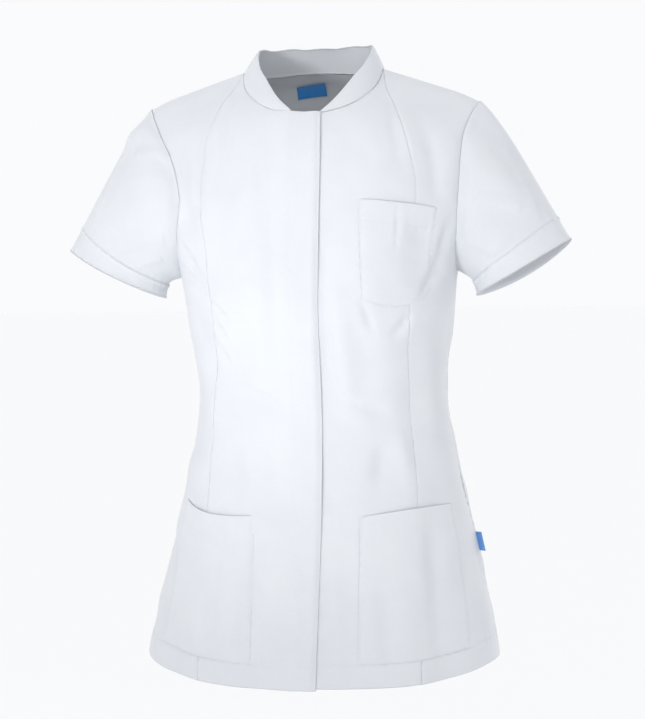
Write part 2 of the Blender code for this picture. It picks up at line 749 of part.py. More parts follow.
def pocket_places(pocket):
    """Rows of places on a pocket, from its mouth to its bottom edge."""
    rows = []
    for row in range(POCKET_ROWS + 1):
        places = []
        for column in range(POCKET_COLUMNS + 1):
            across, down = column / POCKET_COLUMNS, row / POCKET_ROWS
            top = bowed(pocket.top, across)
            low = bowed(pocket.bottom, across) if pocket.bottom else LENGTH - HEM_DEPTH
            level = between(top, low, down)
            inner = angle_of(FRONT, between(*pocket.inner, down), level)
            outer = math.radians(between(*pocket.outer, down))
            angle = between(inner, outer, across)
            if not pocket.bottom:
                low = hem_drop(FRONT, pocket.side * angle) - HEM_DEPTH
            x = read(SECTIONS, level, "width") * math.sin(angle)
            top_drop, low_drop = drop_at(x, -top), drop_at(x, -low)
            places.append((pocket.side * angle, between(top_drop, low_drop, down)))
        rows.append(places)
    return rows


def add_pocket(pocket, collection, finish):
    """A patch on the front, moved out from it, with a slightly open mouth."""
    places = pocket_places(pocket)
    grid = {}
    for i, row in enumerate(places):
        for j, place in enumerate(row):
            middle = math.sin(math.pi * j / POCKET_COLUMNS)
            depth = (place[1] - places[0][j][1]) / MOUTH_REACH
            open_mouth = pocket.mouth * middle * (1 - eased(depth))
            grid[place] = ON_PANEL + CLOTH + open_mouth

    def lift(place, _):
        return grid[place]

    outer, inner = cloth_layers(FRONT, places, lift)
    add_wall(pocket.name, outer, inner, finish, collection)


def add_neck_label(name, collection, finish):
    """A label on the inner side of the back, just below the neck seam."""
    places = []
    for row in range(LABEL_ROWS + 1):
        places.append([])
        for column in range(LABEL_COLUMNS + 1):
            across = NECK_LABEL_WIDTH * (column / LABEL_COLUMNS - 0.5)
            down = NECK_LABEL_HEIGHT * (row / LABEL_ROWS - 0.5)
            x, drop = NECK_LABEL_X + across, NECK_LABEL_DROP + down - NECK_LABEL_TILT * across
            places[-1].append((angle_of(BACK, x, drop), drop))

    def lift(_, __):
        return -CLOTH - NECK_LABEL_GAP

    outer, inner = cloth_layers(BACK, places, lift, LABEL_CLOTH)
    add_wall(name, outer, inner, finish, collection)


def add_side_label(name, collection, finish):
    """A small flag that stands out of the wearer's left side seam."""
    outer, inner = [], []
    for row in range(LABEL_ROWS + 1):
        drop = SIDE_LABEL_DROP + SIDE_LABEL_HEIGHT * (row / LABEL_ROWS - 0.5)
        root, _ = form(FRONT, QUARTER, drop)
        outer.append([])
        inner.append([])
        for column in range(LABEL_COLUMNS + 1):
            away = ON_PANEL + SIDE_LABEL_REACH * column / LABEL_COLUMNS
            point = root + Vector((away, LABEL_CLOTH / 2 - away * SIDE_LABEL_TURN, 0))
            outer[-1].append(point)
            inner[-1].append(point - Vector((0, LABEL_CLOTH, 0)))
    add_wall(name, outer, inner, finish, collection)


def add_stud(number, drop, collection, finish):
    """A closed press stud between the lap and the underlap."""
    angle = angle_of(FRONT, 0.0, drop)
    point, normal = form(FRONT, angle, drop)
    height = LAP_LIFT - CLOTH - 2 * STUD_GAP
    shape = bmesh.new()
    bmesh.ops.create_cone(
        shape,
        cap_ends=True,
        segments=STUD_SIDES,
        radius1=STUD_RADIUS,
        radius2=STUD_RADIUS,
        depth=height,
    )
    mesh = bpy.data.meshes.new(f"press_stud_{number}")
    shape.to_mesh(mesh)
    shape.free()
    stud = add_object(f"press_stud_{number}", mesh, finish, collection)
    stud.location = point + normal * ((LAP_LIFT - CLOTH) / 2)
    stud.rotation_mode = "QUATERNION"
    stud.rotation_quaternion = normal.to_track_quat("Z", "Y")


def clear_scene():
    for obj in list(bpy.data.objects):
        bpy.data.objects.remove(obj, do_unlink=True)


def main():
    clear_scene()
    tunic = bpy.data.collections.new("medical_tunic")
    bpy.context.scene.collection.children.link(tunic)
    for side, hand in ((-1, "right"), (1, "left")):
        add_front(side, f"front_{hand}", tunic, WHITE_TWILL)
        add_side_panel(FRONT, side, f"side_front_{hand}", tunic, WHITE_TWILL)
        add_side_panel(BACK, side, f"side_back_{hand}", tunic, WHITE_TWILL)
        add_sleeve(side, f"sleeve_{hand}", tunic, WHITE_TWILL)
        add_cuff(side, f"cuff_{hand}", tunic, WHITE_TWILL)
    add_back("back", tunic, WHITE_TWILL)
    add_collar("collar", tunic, WHITE_TWILL)
    for pocket in POCKETS:
        add_pocket(pocket, tunic, WHITE_TWILL)
    add_neck_label("neck_label", tunic, BLUE_LABEL)
    add_side_label("side_label", tunic, BLUE_LABEL)
    for number, drop in enumerate(STUD_DROPS, 1):
        add_stud(number, drop, tunic, STUD_METAL)


main()
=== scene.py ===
"""The looks of a short-sleeved medical tunic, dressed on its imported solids.

Metres, +Z up, the front faces -Y and the wearer's left is +X. Every cloth
piece is a thin shell on the same form as its solid, with its creases, rolled
edges, seams and stitches added along named lines.
"""

from __future__ import annotations

import logging
import math
from collections.abc import Callable, Sequence
from dataclasses import dataclass, field
from enum import Enum
from functools import partial

import bpy
import numpy as np
from mathutils import Euler, Matrix, Vector


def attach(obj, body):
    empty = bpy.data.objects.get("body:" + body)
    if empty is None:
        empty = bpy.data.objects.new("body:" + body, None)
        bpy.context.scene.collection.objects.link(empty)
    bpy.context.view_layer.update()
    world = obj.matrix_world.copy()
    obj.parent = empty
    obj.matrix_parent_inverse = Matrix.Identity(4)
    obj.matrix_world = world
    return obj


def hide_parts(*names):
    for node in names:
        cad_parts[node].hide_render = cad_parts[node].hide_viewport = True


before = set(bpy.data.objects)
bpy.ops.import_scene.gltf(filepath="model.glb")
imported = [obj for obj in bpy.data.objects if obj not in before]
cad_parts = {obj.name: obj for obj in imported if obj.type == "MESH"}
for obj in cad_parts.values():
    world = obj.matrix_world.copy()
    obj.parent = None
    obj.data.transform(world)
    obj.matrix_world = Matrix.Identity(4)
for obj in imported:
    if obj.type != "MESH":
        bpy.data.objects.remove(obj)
log = logging.getLogger("tunic")

Array = np.ndarray
Surface = Callable[[Array, Array], Array]
Point = tuple[float, float, float]
Socket = bpy.types.NodeSocket
Material = bpy.types.Material
Object = bpy.types.Object

MM = 0.001
QUARTER = math.pi / 2
TURN = 2 * math.pi
TINY = 1e-5
DROP_ROUNDS = 12

# Sizes that the solids share
SEAM = 0.0001
SLEEVE_SEAM = 0.0001
LENGTH = 0.720
SIDE_RISE = 0.022
HEM_ROUNDING = 3
HEM_TILT = 0.0030
HEM_DEPTH = 0.027
UNDERLAP_RISE = 0.0025
UNDERLAP_FADE = 4
UNDERARM = 0.240
SHOULDER_TIP = 0.198
NECK_HALF_WIDTH = 0.084
SHOULDER_SLOPE = 0.335
TIP_DROOP = 3.4
TIP_DROOP_START = 0.165
SHOULDER_BLEND = 8
LAP_TOP = 0.0185
LAP_HEM = 0.0140
UNDERLAP = 0.016
LAP_LIFT = 0.0044
LAP_RAMP_START = 0.042
LAP_RAMP_END = 0.019
COLLAR_HEIGHT = 0.032
COLLAR_END = 0.017
COLLAR_TIP_HEIGHT = 0.0015
COLLAR_TAPER = 0.070
COLLAR_LEAN_RIGHT = math.radians(34)
COLLAR_LEAN_LEFT = math.radians(24)
SLEEVE_BULGE = 0.45
SHOULDER_HOLD = 0.35
UNDERARM_HOLD = 0.90
CUFF_HOLD = 0.80
FOLD_FADE = 0.12
COLUMNS_EVEN_BELOW = 0.12
ARMHOLE_CLOSING = 0.140

# The collar's top edge, which follows the photo closer than the solid does
COLLAR_BACK_HEIGHT = 0.0330
COLLAR_CORNER_HEIGHT = 0.0385
COLLAR_CORNER_START = 0.020
COLLAR_CORNER_REACH = 0.040
COLLAR_BACK_REACH = 0.026
COLLAR_LEFT_DIP = 0.0035
COLLAR_DIP_REACH = 0.022

# The shells' own thicknesses, and how far a second layer stands in behind the first
CLOTH = 0.0010
DOUBLE_CLOTH = 0.0018
PATCH_CLOTH = 0.0005
SECOND_LAYER = 0.0008


class Side(Enum):
    """The wearer's right or left, as the sign of X."""

    RIGHT = -1
    LEFT = 1


class Face(Enum):
    """The front or back of the body."""

    FRONT = "front"
    BACK = "back"


def eased(share: Array) -> Array:
    """From 0 to 1 with a soft start and end."""
    share = np.clip(share, 0.0, 1.0)
    return share * share * (3 - 2 * share)


def between(start: Array, end: Array, share: Array) -> Array:
    """The value a share of the way from start to end."""
    return start + (end - start) * share


def signed_power(value: Array, power: Array) -> Array:
    """The power of a value's size, with the value's sign."""
    return np.sign(value) * np.abs(value) ** power


def unit(vectors: Array) -> Array:
    """The vectors at length 1."""
    return vectors / np.maximum(np.linalg.norm(vectors, axis=-1, keepdims=True), 1e-12)


def soft_line(distance: Array, half_width: float) -> Array:
    """A rounded ridge across a line, 1 on it and fading to the sides."""
    return np.exp(-((distance / half_width) ** 2))


def from_line(x: Array, z: Array, start: Sequence[float], end: Sequence[float]) -> tuple[Array, Array]:
    """How each point lies beside a straight line.

    Args:
        x: Distances across.
        z: Heights.
        start: The line's first end.
        end: Its other end.

    Returns:
        The distances from the line and the shares along it.
    """
    run_x, run_z = end[0] - start[0], end[1] - start[1]
    along = ((x - start[0]) * run_x + (z - start[1]) * run_z) / (run_x**2 + run_z**2)
    along = np.clip(along, 0.0, 1.0)
    return np.hypot(x - start[0] - along * run_x, z - start[1] - along * run_z), along


def run_lengths(points: Array, axis: int = 0) -> Array:
    """The distance along a line or grid of points from its first, at each of them.

    Args:
        points: The points.
        axis: The axis that the line runs along.

    Returns:
        The distance at each point.
    """
    steps = np.linalg.norm(np.diff(points, axis=axis), axis=-1)
    shape = list(points.shape[:-1])
    shape[axis] = 1
    return np.concatenate([np.zeros(shape), np.cumsum(steps, axis=axis)], axis=axis)


def curve(start: Array, leaving: Array, end: Array, arriving: Array, t: Array) -> Array:
    """The cubic that leaves its start and arrives at its end with the given slopes.

    Args:
        start: The value at 0.
        leaving: The slope at 0.
        end: The value at 1.
        arriving: The slope at 1.
        t: Shares of the way.

    Returns:
        The value at each share.
    """
    return (
        start * ((1 + 2 * t) * (1 - t) ** 2)
        + leaving * (t * (1 - t) ** 2)
        + end * (t * t * (3 - 2 * t))
        + arriving * (t * t * (t - 1))
    )


def read_through(at: Array, values: Array, where: Array) -> Array:
    """Reads a smooth curve through values.

    Args:
        at: The values' places, rising.
        values: The values.
        where: The places to read.

    Returns:
        One value for each place.
    """
    where = np.clip(where, at[0], at[-1])
    last = len(at) - 2
    low = np.clip(np.searchsorted(at[1:], where, side="left"), 0, last)
    before, after = np.maximum(low - 1, 0), np.minimum(low + 2, last + 1)
    step = at[low + 1] - at[low]
    start, end = values[low], values[low + 1]
    leaving = (end - values[before]) / (at[low + 1] - at[before]) * step
    arriving = (values[after] - start) / (at[after] - at[low]) * step
    return curve(start, leaving, end, arriving, (where - at[low]) / step)


def outward(surface: Surface, u: Array, v: Array, u_step: float = 1e-4, v_step: float = 1e-5) -> Array:
    """The surface's unit normals, from small steps each way.

    Args:
        surface: Gives the point at each pair of values.
        u: Values across.
        v: Values along.
        u_step: The step across.
        v_step: The step along.

    Returns:
        One normal for each pair.
    """
    across = surface(u + u_step, v) - surface(u - u_step, v)
    along = surface(u, v + v_step) - surface(u, np.maximum(v - v_step, 0.0))
    return unit(np.cross(across, along))


def in_metres(kind: type, rows: Sequence[Sequence[float]]) -> tuple:
    """An object for each row of millimetres."""
    return tuple(kind(*(value / 1000 for value in row)) for row in rows)


@dataclass(frozen=True)
class DropTable:
    """Columns of values at rising drops, read on a smooth curve through the rows."""

    names: tuple[str, ...]
    rows: tuple[tuple[float, ...], ...]

    def read(self, name: str, drop: Array) -> Array:
        """The values of the named column at drops below the shoulder line."""
        table = np.array(self.rows)
        return read_through(table[:, 0], table[:, 1 + self.names.index(name)], drop)


SECTIONS = DropTable(
    ("width", "front", "back", "front_power", "back_power", "sway"),
    (
        (0.000, 0.2080, 0.088, 0.080, 2.30, 2.40, -0.004),
        (0.050, 0.2050, 0.096, 0.090, 2.30, 2.40, -0.002),
        (0.100, 0.1980, 0.105, 0.099, 2.35, 2.45, 0.0),
        (0.140, 0.1915, 0.113, 0.104, 2.40, 2.50, 0.0),
        (0.180, 0.1815, 0.122, 0.105, 2.45, 2.50, 0.0),
        (0.210, 0.1725, 0.128, 0.104, 2.50, 2.50, 0.0),
        (0.240, 0.1650, 0.133, 0.102, 2.50, 2.45, 0.0),
        (0.270, 0.1610, 0.136, 0.100, 2.50, 2.40, 0.0),
        (0.310, 0.1565, 0.132, 0.096, 2.45, 2.35, 0.0),
        (0.360, 0.1505, 0.121, 0.090, 2.35, 2.30, 0.0),
        (0.400, 0.1510, 0.115, 0.090, 2.30, 2.25, 0.0),
        (0.440, 0.1565, 0.115, 0.096, 2.25, 2.20, 0.0),
        (0.500, 0.1690, 0.122, 0.109, 2.20, 2.20, 0.0),
        (0.560, 0.1840, 0.130, 0.121, 2.15, 2.15, -0.001),
        (0.640, 0.2015, 0.139, 0.131, 2.10, 2.10, -0.0035),
        (0.720, 0.2170, 0.147, 0.139, 2.10, 2.10, -0.0060),
    ),
)

PRINCESS_LINE = DropTable(
    ("right", "left", "back"),
    (
        (0.000, 0.084, 0.084, 0.084),
        (0.020, 0.094, 0.090, 0.088),
        (0.040, 0.107, 0.101, 0.092),
        (0.065, 0.118, 0.112, 0.097),
        (0.092, 0.126, 0.121, 0.100),
        (0.125, 0.130, 0.127, 0.103),
        (0.160, 0.129, 0.127, 0.104),
        (0.200, 0.124, 0.124, 0.102),
        (0.240, 0.117, 0.121, 0.097),
        (0.280, 0.110, 0.118, 0.091),
        (0.330, 0.111, 0.116, 0.086),
        (0.430, 0.121, 0.118, 0.084),
        (0.500, 0.125, 0.123, 0.090),
        (0.717, 0.131, 0.132, 0.112),
    ),
)

ARMHOLE = DropTable(
    ("right", "left", "back"),
    (
        (0.000, 0.1980, 0.1980, 0.1980),
        (0.020, 0.1910, 0.1895, 0.1935),
        (0.045, 0.1820, 0.1820, 0.1880),
        (0.075, 0.1715, 0.1780, 0.1830),
        (0.105, 0.1640, 0.1755, 0.1790),
        (0.140, 0.1580, 0.1735, 0.1760),
    ),
)


@dataclass(frozen=True)
class FaceShape:
    """How one face of the form rounds away from the shoulder line and at the neck."""

    toward: int
    depth: str
    power: str
    neck_round: float
    tip_round: float
    neck_slope: float
    tip_slope: float
    neck_drop: float
    neck_power: float
    neck_ease: float
    neck_columns: int

    def neck_steps(self) -> Array:
        """The reaches of the solid's own points along half of the neck seam.

        Returns:
            Rising reaches, up to the neck's half width.
        """
        count = np.arange(1, self.neck_columns + 1) / self.neck_columns
        turns = QUARTER * (1 - (1 - count) ** self.neck_ease)
        return NECK_HALF_WIDTH * np.sin(turns) ** (2 / self.neck_power)


SHAPES = {
    Face.FRONT: FaceShape(-1, "front", "front_power", 0.015, 0.060, 1.3, 0.6, 0.0665, 1.95, 1.5, 9),
    Face.BACK: FaceShape(+1, "back", "back_power", 0.060, 0.060, 2.5, 1.0, 0.0135, 2.5, 1.6, 7),
}


@dataclass(frozen=True)
class Fold:
    """A soft fold along a straight line, on a face of the body or round a sleeve."""

    x1: float
    z1: float
    x2: float
    z2: float
    half_width: float
    height: float

    def relief(self, x: Array, z: Array) -> Array:
        """The fold's height at each point."""
        away, _ = from_line(x, z, (self.x1, self.z1), (self.x2, self.z2))
        return self.height * soft_line(away, self.half_width)


# Rows in millimetres: x and z of one end, of the other end, half width, height
FRONT_FOLDS = (
    (-150, -100, -128, -205, 26, -4.0),
    (152, -100, 134, -215, 26, -4.5),
    (-88, -262, -70, -275, 50, 5.0),
    (88, -262, 70, -275, 50, 5.0),
    (-128, -300, -118, -352, 14, -3.0),
    (124, -330, 120, -420, 16, -3.0),
    (-20, -540, -26, -690, 20, 3.5),
    (-56, -560, -62, -717, 18, -5.0),
    (-160, -560, -172, -717, 18, -5.0),
    (46, -600, 52, -717, 20, -4.0),
    (146, -500, 162, -717, 20, -5.0),
    (110, -600, 116, -717, 26, 3.0),
)
BACK_FOLDS = (
    (-86, -320, -80, -440, 16, -3.5),
    (86, -320, 80, -440, 16, -3.5),
    (0, -300, 0, -420, 40, -4.0),
    (-70, -560, -84, -717, 22, -5.0),
    (-12, -560, -18, -717, 26, 3.5),
    (62, -580, 78, -717, 22, -5.0),
    (-152, -110, -122, -205, 28, -6.2),
    (152, -110, 122, -205, 24, -4.0),
)
FORM_FOLDS = {Face.FRONT: in_metres(Fold, FRONT_FOLDS), Face.BACK: in_metres(Fold, BACK_FOLDS)}


class Form:
    """The outer form that the solids share, by angle from the middle and drop."""

    def shoulder_line(self, x: Array) -> Array:
        """The height of the shoulder line at each x.

        Args:
            x: Distances across, positive to the wearer's left.

        Returns:
            One height for each x.
        """
        reach = np.abs(x)
        neck = SHOULDER_SLOPE * NECK_HALF_WIDTH / 2 * (1 - (reach / NECK_HALF_WIDTH) ** 2)
        droop = TIP_DROOP * np.maximum(reach - TIP_DROOP_START, 0) ** 2
        shoulder = -SHOULDER_SLOPE * (reach - NECK_HALF_WIDTH) - droop
        return np.where(reach < NECK_HALF_WIDTH, neck, shoulder)

    def height_at(self, x: Array, drop: Array) -> Array:
        """The height of the point at each x and drop."""
        return self.shoulder_line(x) * (1 - eased(drop / UNDERARM)) - drop

    def drop_at(self, x: Array, z: Array) -> Array:
        """The drop of the point at each x and height.

        Args:
            x: Distances across, positive to the wearer's left.
            z: Heights.

        Returns:
            One drop for each point.
        """
        drop = -z
        for _ in range(DROP_ROUNDS):
            drop = -z + self.shoulder_line(x) * (1 - eased(drop / UNDERARM))
        return drop

    def depth_at(self, shape: FaceShape, x: Array, drop: Array) -> Array:
        """How far the form stands out at the middle, eased in from the shoulder line.

        Args:
            shape: How the face rounds.
            x: Distances across, positive to the wearer's left.
            drop: Drops below the shoulder line.

        Returns:
            One depth for each point.
        """
        across = eased((np.abs(x) - NECK_HALF_WIDTH) / (SHOULDER_TIP - NECK_HALF_WIDTH))
        rounding = between(shape.neck_round, shape.tip_round, across)
        slope = between(shape.neck_slope, shape.tip_slope, across)
        shoulder = np.sqrt((slope * drop) ** 2 + 2 * rounding * drop)
        full = SECTIONS.read(shape.depth, drop)
        near = np.maximum(shoulder, TINY)
        blended = (near ** -SHOULDER_BLEND + full ** -SHOULDER_BLEND) ** (-1 / SHOULDER_BLEND)
        return np.where(shoulder < TINY, shoulder, blended)

    def plain(self, face: Face, angle: Array, drop: Array) -> Array:
        """Points of the form without its folds.

        Args:
            face: The front or the back.
            angle: Angles from the middle, positive to the wearer's left.
            drop: Drops below the shoulder line.

        Returns:
            One point for each pair.
        """
        shape = SHAPES[face]
        power = SECTIONS.read(shape.power, drop)
        x = SECTIONS.read("width", drop) * signed_power(np.sin(angle), 2 / power)
        y = shape.toward * self.depth_at(shape, x, drop) * signed_power(np.cos(angle), 2 / power)
        return np.stack([x + SECTIONS.read("sway", drop), y, self.height_at(x, drop)], axis=-1)

    def folded(self, face: Face, angle: Array, drop: Array) -> Array:
        """Points of the form with its folds.

        Args:
            face: The front or the back.
            angle: Angles from the middle, positive to the wearer's left.
            drop: Drops below the shoulder line.

        Returns:
            One point for each pair.
        """
        plain = partial(self.plain, face)
        points = plain(angle, drop)
        height = np.zeros_like(points[..., 0])
        for fold in FORM_FOLDS[face]:
            height += fold.relief(points[..., 0], points[..., 2])
        return points + outward(plain, angle, drop) * SHAPES[face].toward * height[..., None]

    def sample(self, face: Face, angle: Array, drop: Array) -> tuple[Array, Array]:
        """Points of the folded form and the outward unit normals there."""
        surface = partial(self.folded, face)
        return surface(angle, drop), outward(surface, angle, drop) * SHAPES[face].toward

    def angle_of(self, face: Face, x: Array, drop: Array) -> Array:
        """The angle of the point at each x and drop."""
        share = np.clip(x / SECTIONS.read("width", drop), -1.0, 1.0)
        return np.arcsin(signed_power(share, SECTIONS.read(SHAPES[face].power, drop) / 2))

    def princess(self, face: Face, side: Side, drop: Array) -> Array:
        """The reach of the seam from the neck to the hem."""
        return PRINCESS_LINE.read(seam_column(face, side), drop)

    def armhole_angle(self, face: Face, side: Side, drop: Array) -> Array:
        """The angle of the armhole's edge, closing like a half ellipse at the underarm.

        Args:
            face: The front or the back.
            side: The wearer's side.
            drop: Drops below the shoulder line.

        Returns:
            One angle for each drop.
        """
        column, shape = seam_column(face, side), SHAPES[face]
        open_part = self.angle_of(face, ARMHOLE.read(column, drop), drop)
        closing = np.array(ARMHOLE_CLOSING)
        top = self.angle_of(face, ARMHOLE.read(column, closing), closing)
        top_power = SECTIONS.read(shape.power, closing)
        top_depth = self.depth_at(shape, np.array(0.0), closing) * np.cos(top) ** (2 / top_power)
        share = np.clip((drop - ARMHOLE_CLOSING) / (UNDERARM - ARMHOLE_CLOSING), 0, 1)
        full_depth = np.maximum(self.depth_at(shape, 0 * drop, drop), TINY)
        depth = top_depth * np.sqrt(1 - share * share) / full_depth
        closed = np.arccos(np.clip(depth, 0, 1) ** (SECTIONS.read(shape.power, drop) / 2))
        angle = np.where(drop <= ARMHOLE_CLOSING, open_part, closed)
        return np.where(drop >= UNDERARM, QUARTER, angle)

    def neck_drop(self, face: Face, x: Array) -> Array:
        """How far the neck seam lies below the shoulder line.

        Args:
            face: The front or the back.
            x: Distances across, positive to the wearer's left.

        Returns:
            One drop for each x.
        """
        shape = SHAPES[face]
        share = np.minimum(np.abs(x) / NECK_HALF_WIDTH, 1.0)
        return shape.neck_drop * (1 - share**shape.neck_power) ** (1 / shape.neck_power)

    def hem_drop(self, face: Face, angle: Array) -> Array:
        """The hem's drop, less at the sides and on the left front, which laps under.

        Args:
            face: The front or the back.
            angle: Angles from the middle, positive to the wearer's left.

        Returns:
            One drop for each angle.
        """
        turn = np.sin(angle)
        drop = LENGTH - SIDE_RISE * np.abs(turn) ** HEM_ROUNDING + HEM_TILT * turn
        if face is Face.BACK:
            return drop
        return drop - np.where(angle > 0, UNDERLAP_RISE * np.cos(angle) ** UNDERLAP_FADE, 0.0)


def seam_column(face: Face, side: Side) -> str:
    """The column that holds a seam's reach."""
    return "back" if face is Face.BACK else side.name.lower()


FORM = Form()


def lap_lift(side: Side, x: Array) -> Array:
    """How far the wearer's right front stands out where it laps over the left one.

    Args:
        side: The wearer's side.
        x: Distances across, positive to the wearer's left.

    Returns:
        One height for each x.
    """
    if side is Side.LEFT:
        return np.zeros_like(x)
    return LAP_LIFT * eased((LAP_RAMP_START + x) / (LAP_RAMP_START - LAP_RAMP_END))


def lap_edge(side: Side, drop: Array) -> Array:
    """The edge of a centre front, as its reach from the middle on its own side.

    Args:
        side: The wearer's side.
        drop: Drops below the shoulder line.

    Returns:
        One reach for each drop.
    """
    if side is Side.LEFT:
        return np.full_like(drop, -UNDERLAP)
    return -between(LAP_TOP, LAP_HEM, drop / LENGTH)


# Creases and soft waves

CREASE_STRENGTH = 3.3
CREASE_STEPS = 14
CREASE_ENDS = 0.4
SHOULDER_DEPTH = 0.30
SHOULDER_REACH = 2.3
RELIEF_FADE = 0.10
RELIEF_BELOW_NECK = 0.018
WAVE_COUNT = 14
WAVE_LENGTHS = (0.032, 0.115)
BODY_WAVES = 0.00090
SLEEVE_WAVES = 0.00022
WAVE_SEEDS = {Face.FRONT: 11, Face.BACK: 12}
SLEEVE_SEED = 21
PUCKER_LENGTHS = (0.0130, 0.0074)
PUCKER_FADE = 0.0060
GROOVE_REACH = 0.0011


@dataclass(frozen=True)
class Crease:
    """A soft uneven crease along a bent line, seen from the face that it lies on.

    The line runs from (x1, z1) past (xm, zm) to (x2, z2). A height below 0 is a
    trough, with low shoulders beside it.
    """

    x1: float
    z1: float
    xm: float
    zm: float
    x2: float
    z2: float
    half_width: float
    height: float

    def relief(self, x: Array, z: Array) -> Array:
        """The crease's height at each point.

        Args:
            x: Distances across, positive to the wearer's left.
            z: Heights.

        Returns:
            One height for each point.
        """
        share = np.linspace(0, 1, CREASE_STEPS + 1)
        first, middle, last = (1 - share) ** 2, 2 * share * (1 - share), share**2
        px = first * self.x1 + middle * self.xm + last * self.x2
        pz = first * self.z1 + middle * self.zm + last * self.z2
        best, at = np.full(x.shape, np.inf), np.zeros(x.shape)
        for i in range(CREASE_STEPS):
            away, along = from_line(x, z, (px[i], pz[i]), (px[i + 1], pz[i + 1]))
            at = np.where(away < best, (i + along) / CREASE_STEPS, at)
            best = np.minimum(away, best)
        uneven = 1 + 0.22 * np.sin(9 * at + 40 * self.x1) + 0.12 * np.sin(23 * at + 70 * self.z1)
        ends = np.sqrt(eased(at / CREASE_ENDS) * eased((1 - at) / CREASE_ENDS))
        shoulders = SHOULDER_DEPTH * soft_line(best, self.half_width * SHOULDER_REACH)
        return CREASE_STRENGTH * self.height * uneven * ends * (soft_line(best, self.half_width) - shoulders)


# Rows in millimetres: x and z of one end, of the middle, of the other end, half width, height
FRONT_CREASES = (
    # Right chest, from the armhole towards the bust
    (-163, -190, -150, -222, -120, -250, 5.5, -1.3),
    (-158, -228, -140, -245, -118, -262, 4.5, -1.0),
    (-140, -70, -128, -120, -132, -170, 9.0, -1.2),
    (-86, -30, -100, -80, -98, -130, 8.0, -0.8),
    (-158, -75, -146, -160, -142, -255, 13.0, -1.6),
    (-60, -85, -70, -130, -62, -175, 10.0, 0.7),
    (-150, -90, -118, -125, -75, -150, 20.0, -1.4),
    (-60, -150, -52, -215, -56, -280, 22.0, 1.4),
    (-150, -330, -142, -400, -150, -470, 18.0, -1.2),
    # Puckers beside the right seam under the bust
    (-116, -270, -100, -280, -88, -300, 4.0, -0.9),
    (-110, -292, -98, -305, -92, -325, 4.0, -1.1),
    (-108, -318, -98, -330, -96, -352, 3.8, -0.8),
    # Left chest and pocket
    (162, -180, 154, -225, 134, -262, 5.5, -1.5),
    (158, -232, 144, -252, 128, -268, 4.5, -1.1),
    (92, -35, 108, -85, 112, -135, 8.5, -0.9),
    (140, -75, 150, -120, 148, -160, 8.5, -1.1),
    (120, -288, 112, -300, 96, -318, 5.0, -1.3),
    (64, -268, 76, -290, 78, -315, 5.0, -1.0),
    (105, -168, 106, -190, 104, -215, 3.2, -0.6),
    (150, -90, 110, -120, 60, -110, 20.0, -1.3),
    (128, -170, 132, -215, 124, -260, 16.0, -1.2),
    # Waist, drawn to the closing
    (-80, -370, -50, -392, -20, -398, 8.0, -0.9),
    (30, -380, 60, -400, 96, -402, 8.0, -1.0),
    (90, -430, 78, -465, 82, -505, 10.0, -1.2),
    (100, -420, 112, -455, 112, -500, 8.0, 1.0),
    (-92, -430, -82, -470, -86, -510, 9.5, -1.0),
    (22, -200, 28, -290, 24, -380, 8.5, -1.4),
    (40, -280, 50, -350, 44, -420, 13.0, 0.9),
    (-30, -200, -34, -300, -30, -420, 12.0, -0.7),
    # Skirt
    (-112, -560, -118, -620, -124, -700, 10.0, -1.6),
    (-86, -580, -92, -640, -98, -712, 11.0, 1.2),
    (82, -590, 88, -650, 94, -712, 11.0, -1.4),
    (134, -520, 142, -600, 146, -700, 9.0, -1.8),
    (18, -560, 22, -630, 20, -712, 8.0, -1.2),
    (-180, -520, -186, -600, -194, -690, 10.0, -1.2),
    (176, -520, 184, -600, 192, -690, 10.0, -1.2),
)
BACK_CREASES = (
    (-165, -190, -140, -225, -105, -245, 6.0, -1.4),
    (165, -185, 142, -222, 108, -248, 6.0, -1.5),
    (-155, -235, -130, -258, -100, -268, 5.0, -1.0),
    (156, -232, 134, -256, 104, -270, 5.0, -1.1),
    (-90, -30, -104, -80, -100, -140, 9.0, -1.0),
    (92, -30, 104, -78, 102, -135, 9.0, -1.0),
    (-130, -360, -90, -385, -40, -380, 8.0, -1.4),
    (132, -352, 92, -380, 45, -388, 8.0, -1.4),
    (-120, -400, -80, -415, -35, -405, 7.0, -1.1),
    (118, -398, 82, -412, 30, -410, 7.0, -1.1),
    (-36, -120, -30, -200, -36, -290, 14.0, -0.9),
    (34, -110, 40, -200, 34, -300, 14.0, -1.0),
    (-118, -500, -128, -600, -138, -705, 12.0, -1.7),
    (116, -500, 124, -600, 136, -705, 12.0, -1.7),
    (-40, -560, -46, -640, -50, -712, 11.0, -1.2),
    (28, -570, 34, -640, 36, -712, 11.0, -1.3),
    (-170, -520, -180, -600, -192, -690, 10.0, -1.2),
    (170, -520, 180, -600, 190, -690, 10.0, -1.2),
)
CREASES = {Face.FRONT: in_metres(Crease, FRONT_CREASES), Face.BACK: in_metres(Crease, BACK_CREASES)}


def cloth_waves(x: Array, z: Array, seed: int, height: float) -> Array:
    """Faint uneven waves that no pressed cloth is without.

    Args:
        x: Distances across the cloth.
        z: Distances along the cloth.
        seed: Picks the set of waves.
        height: About the largest height.

    Returns:
        The height at each point.
    """
    random = np.random.default_rng(seed)
    total = np.zeros(np.shape(x))
    for _ in range(WAVE_COUNT):
        turn, length = random.uniform(0, math.pi), random.uniform(*WAVE_LENGTHS)
        total += np.sin((x * math.cos(turn) + z * math.sin(turn)) * TURN / length + random.uniform(0, TURN))
    return total * height / math.sqrt(WAVE_COUNT)


def face_relief(face: Face, points: Array) -> Array:
    """All creases and waves of one face of the body.

    Args:
        face: The front or the back.
        points: Points of the panel.

    Returns:
        One height for each point.
    """
    x, z = points[..., 0], points[..., 2]
    total = cloth_waves(x, z, WAVE_SEEDS[face], BODY_WAVES)
    return total + sum(crease.relief(x, z) for crease in CREASES[face])


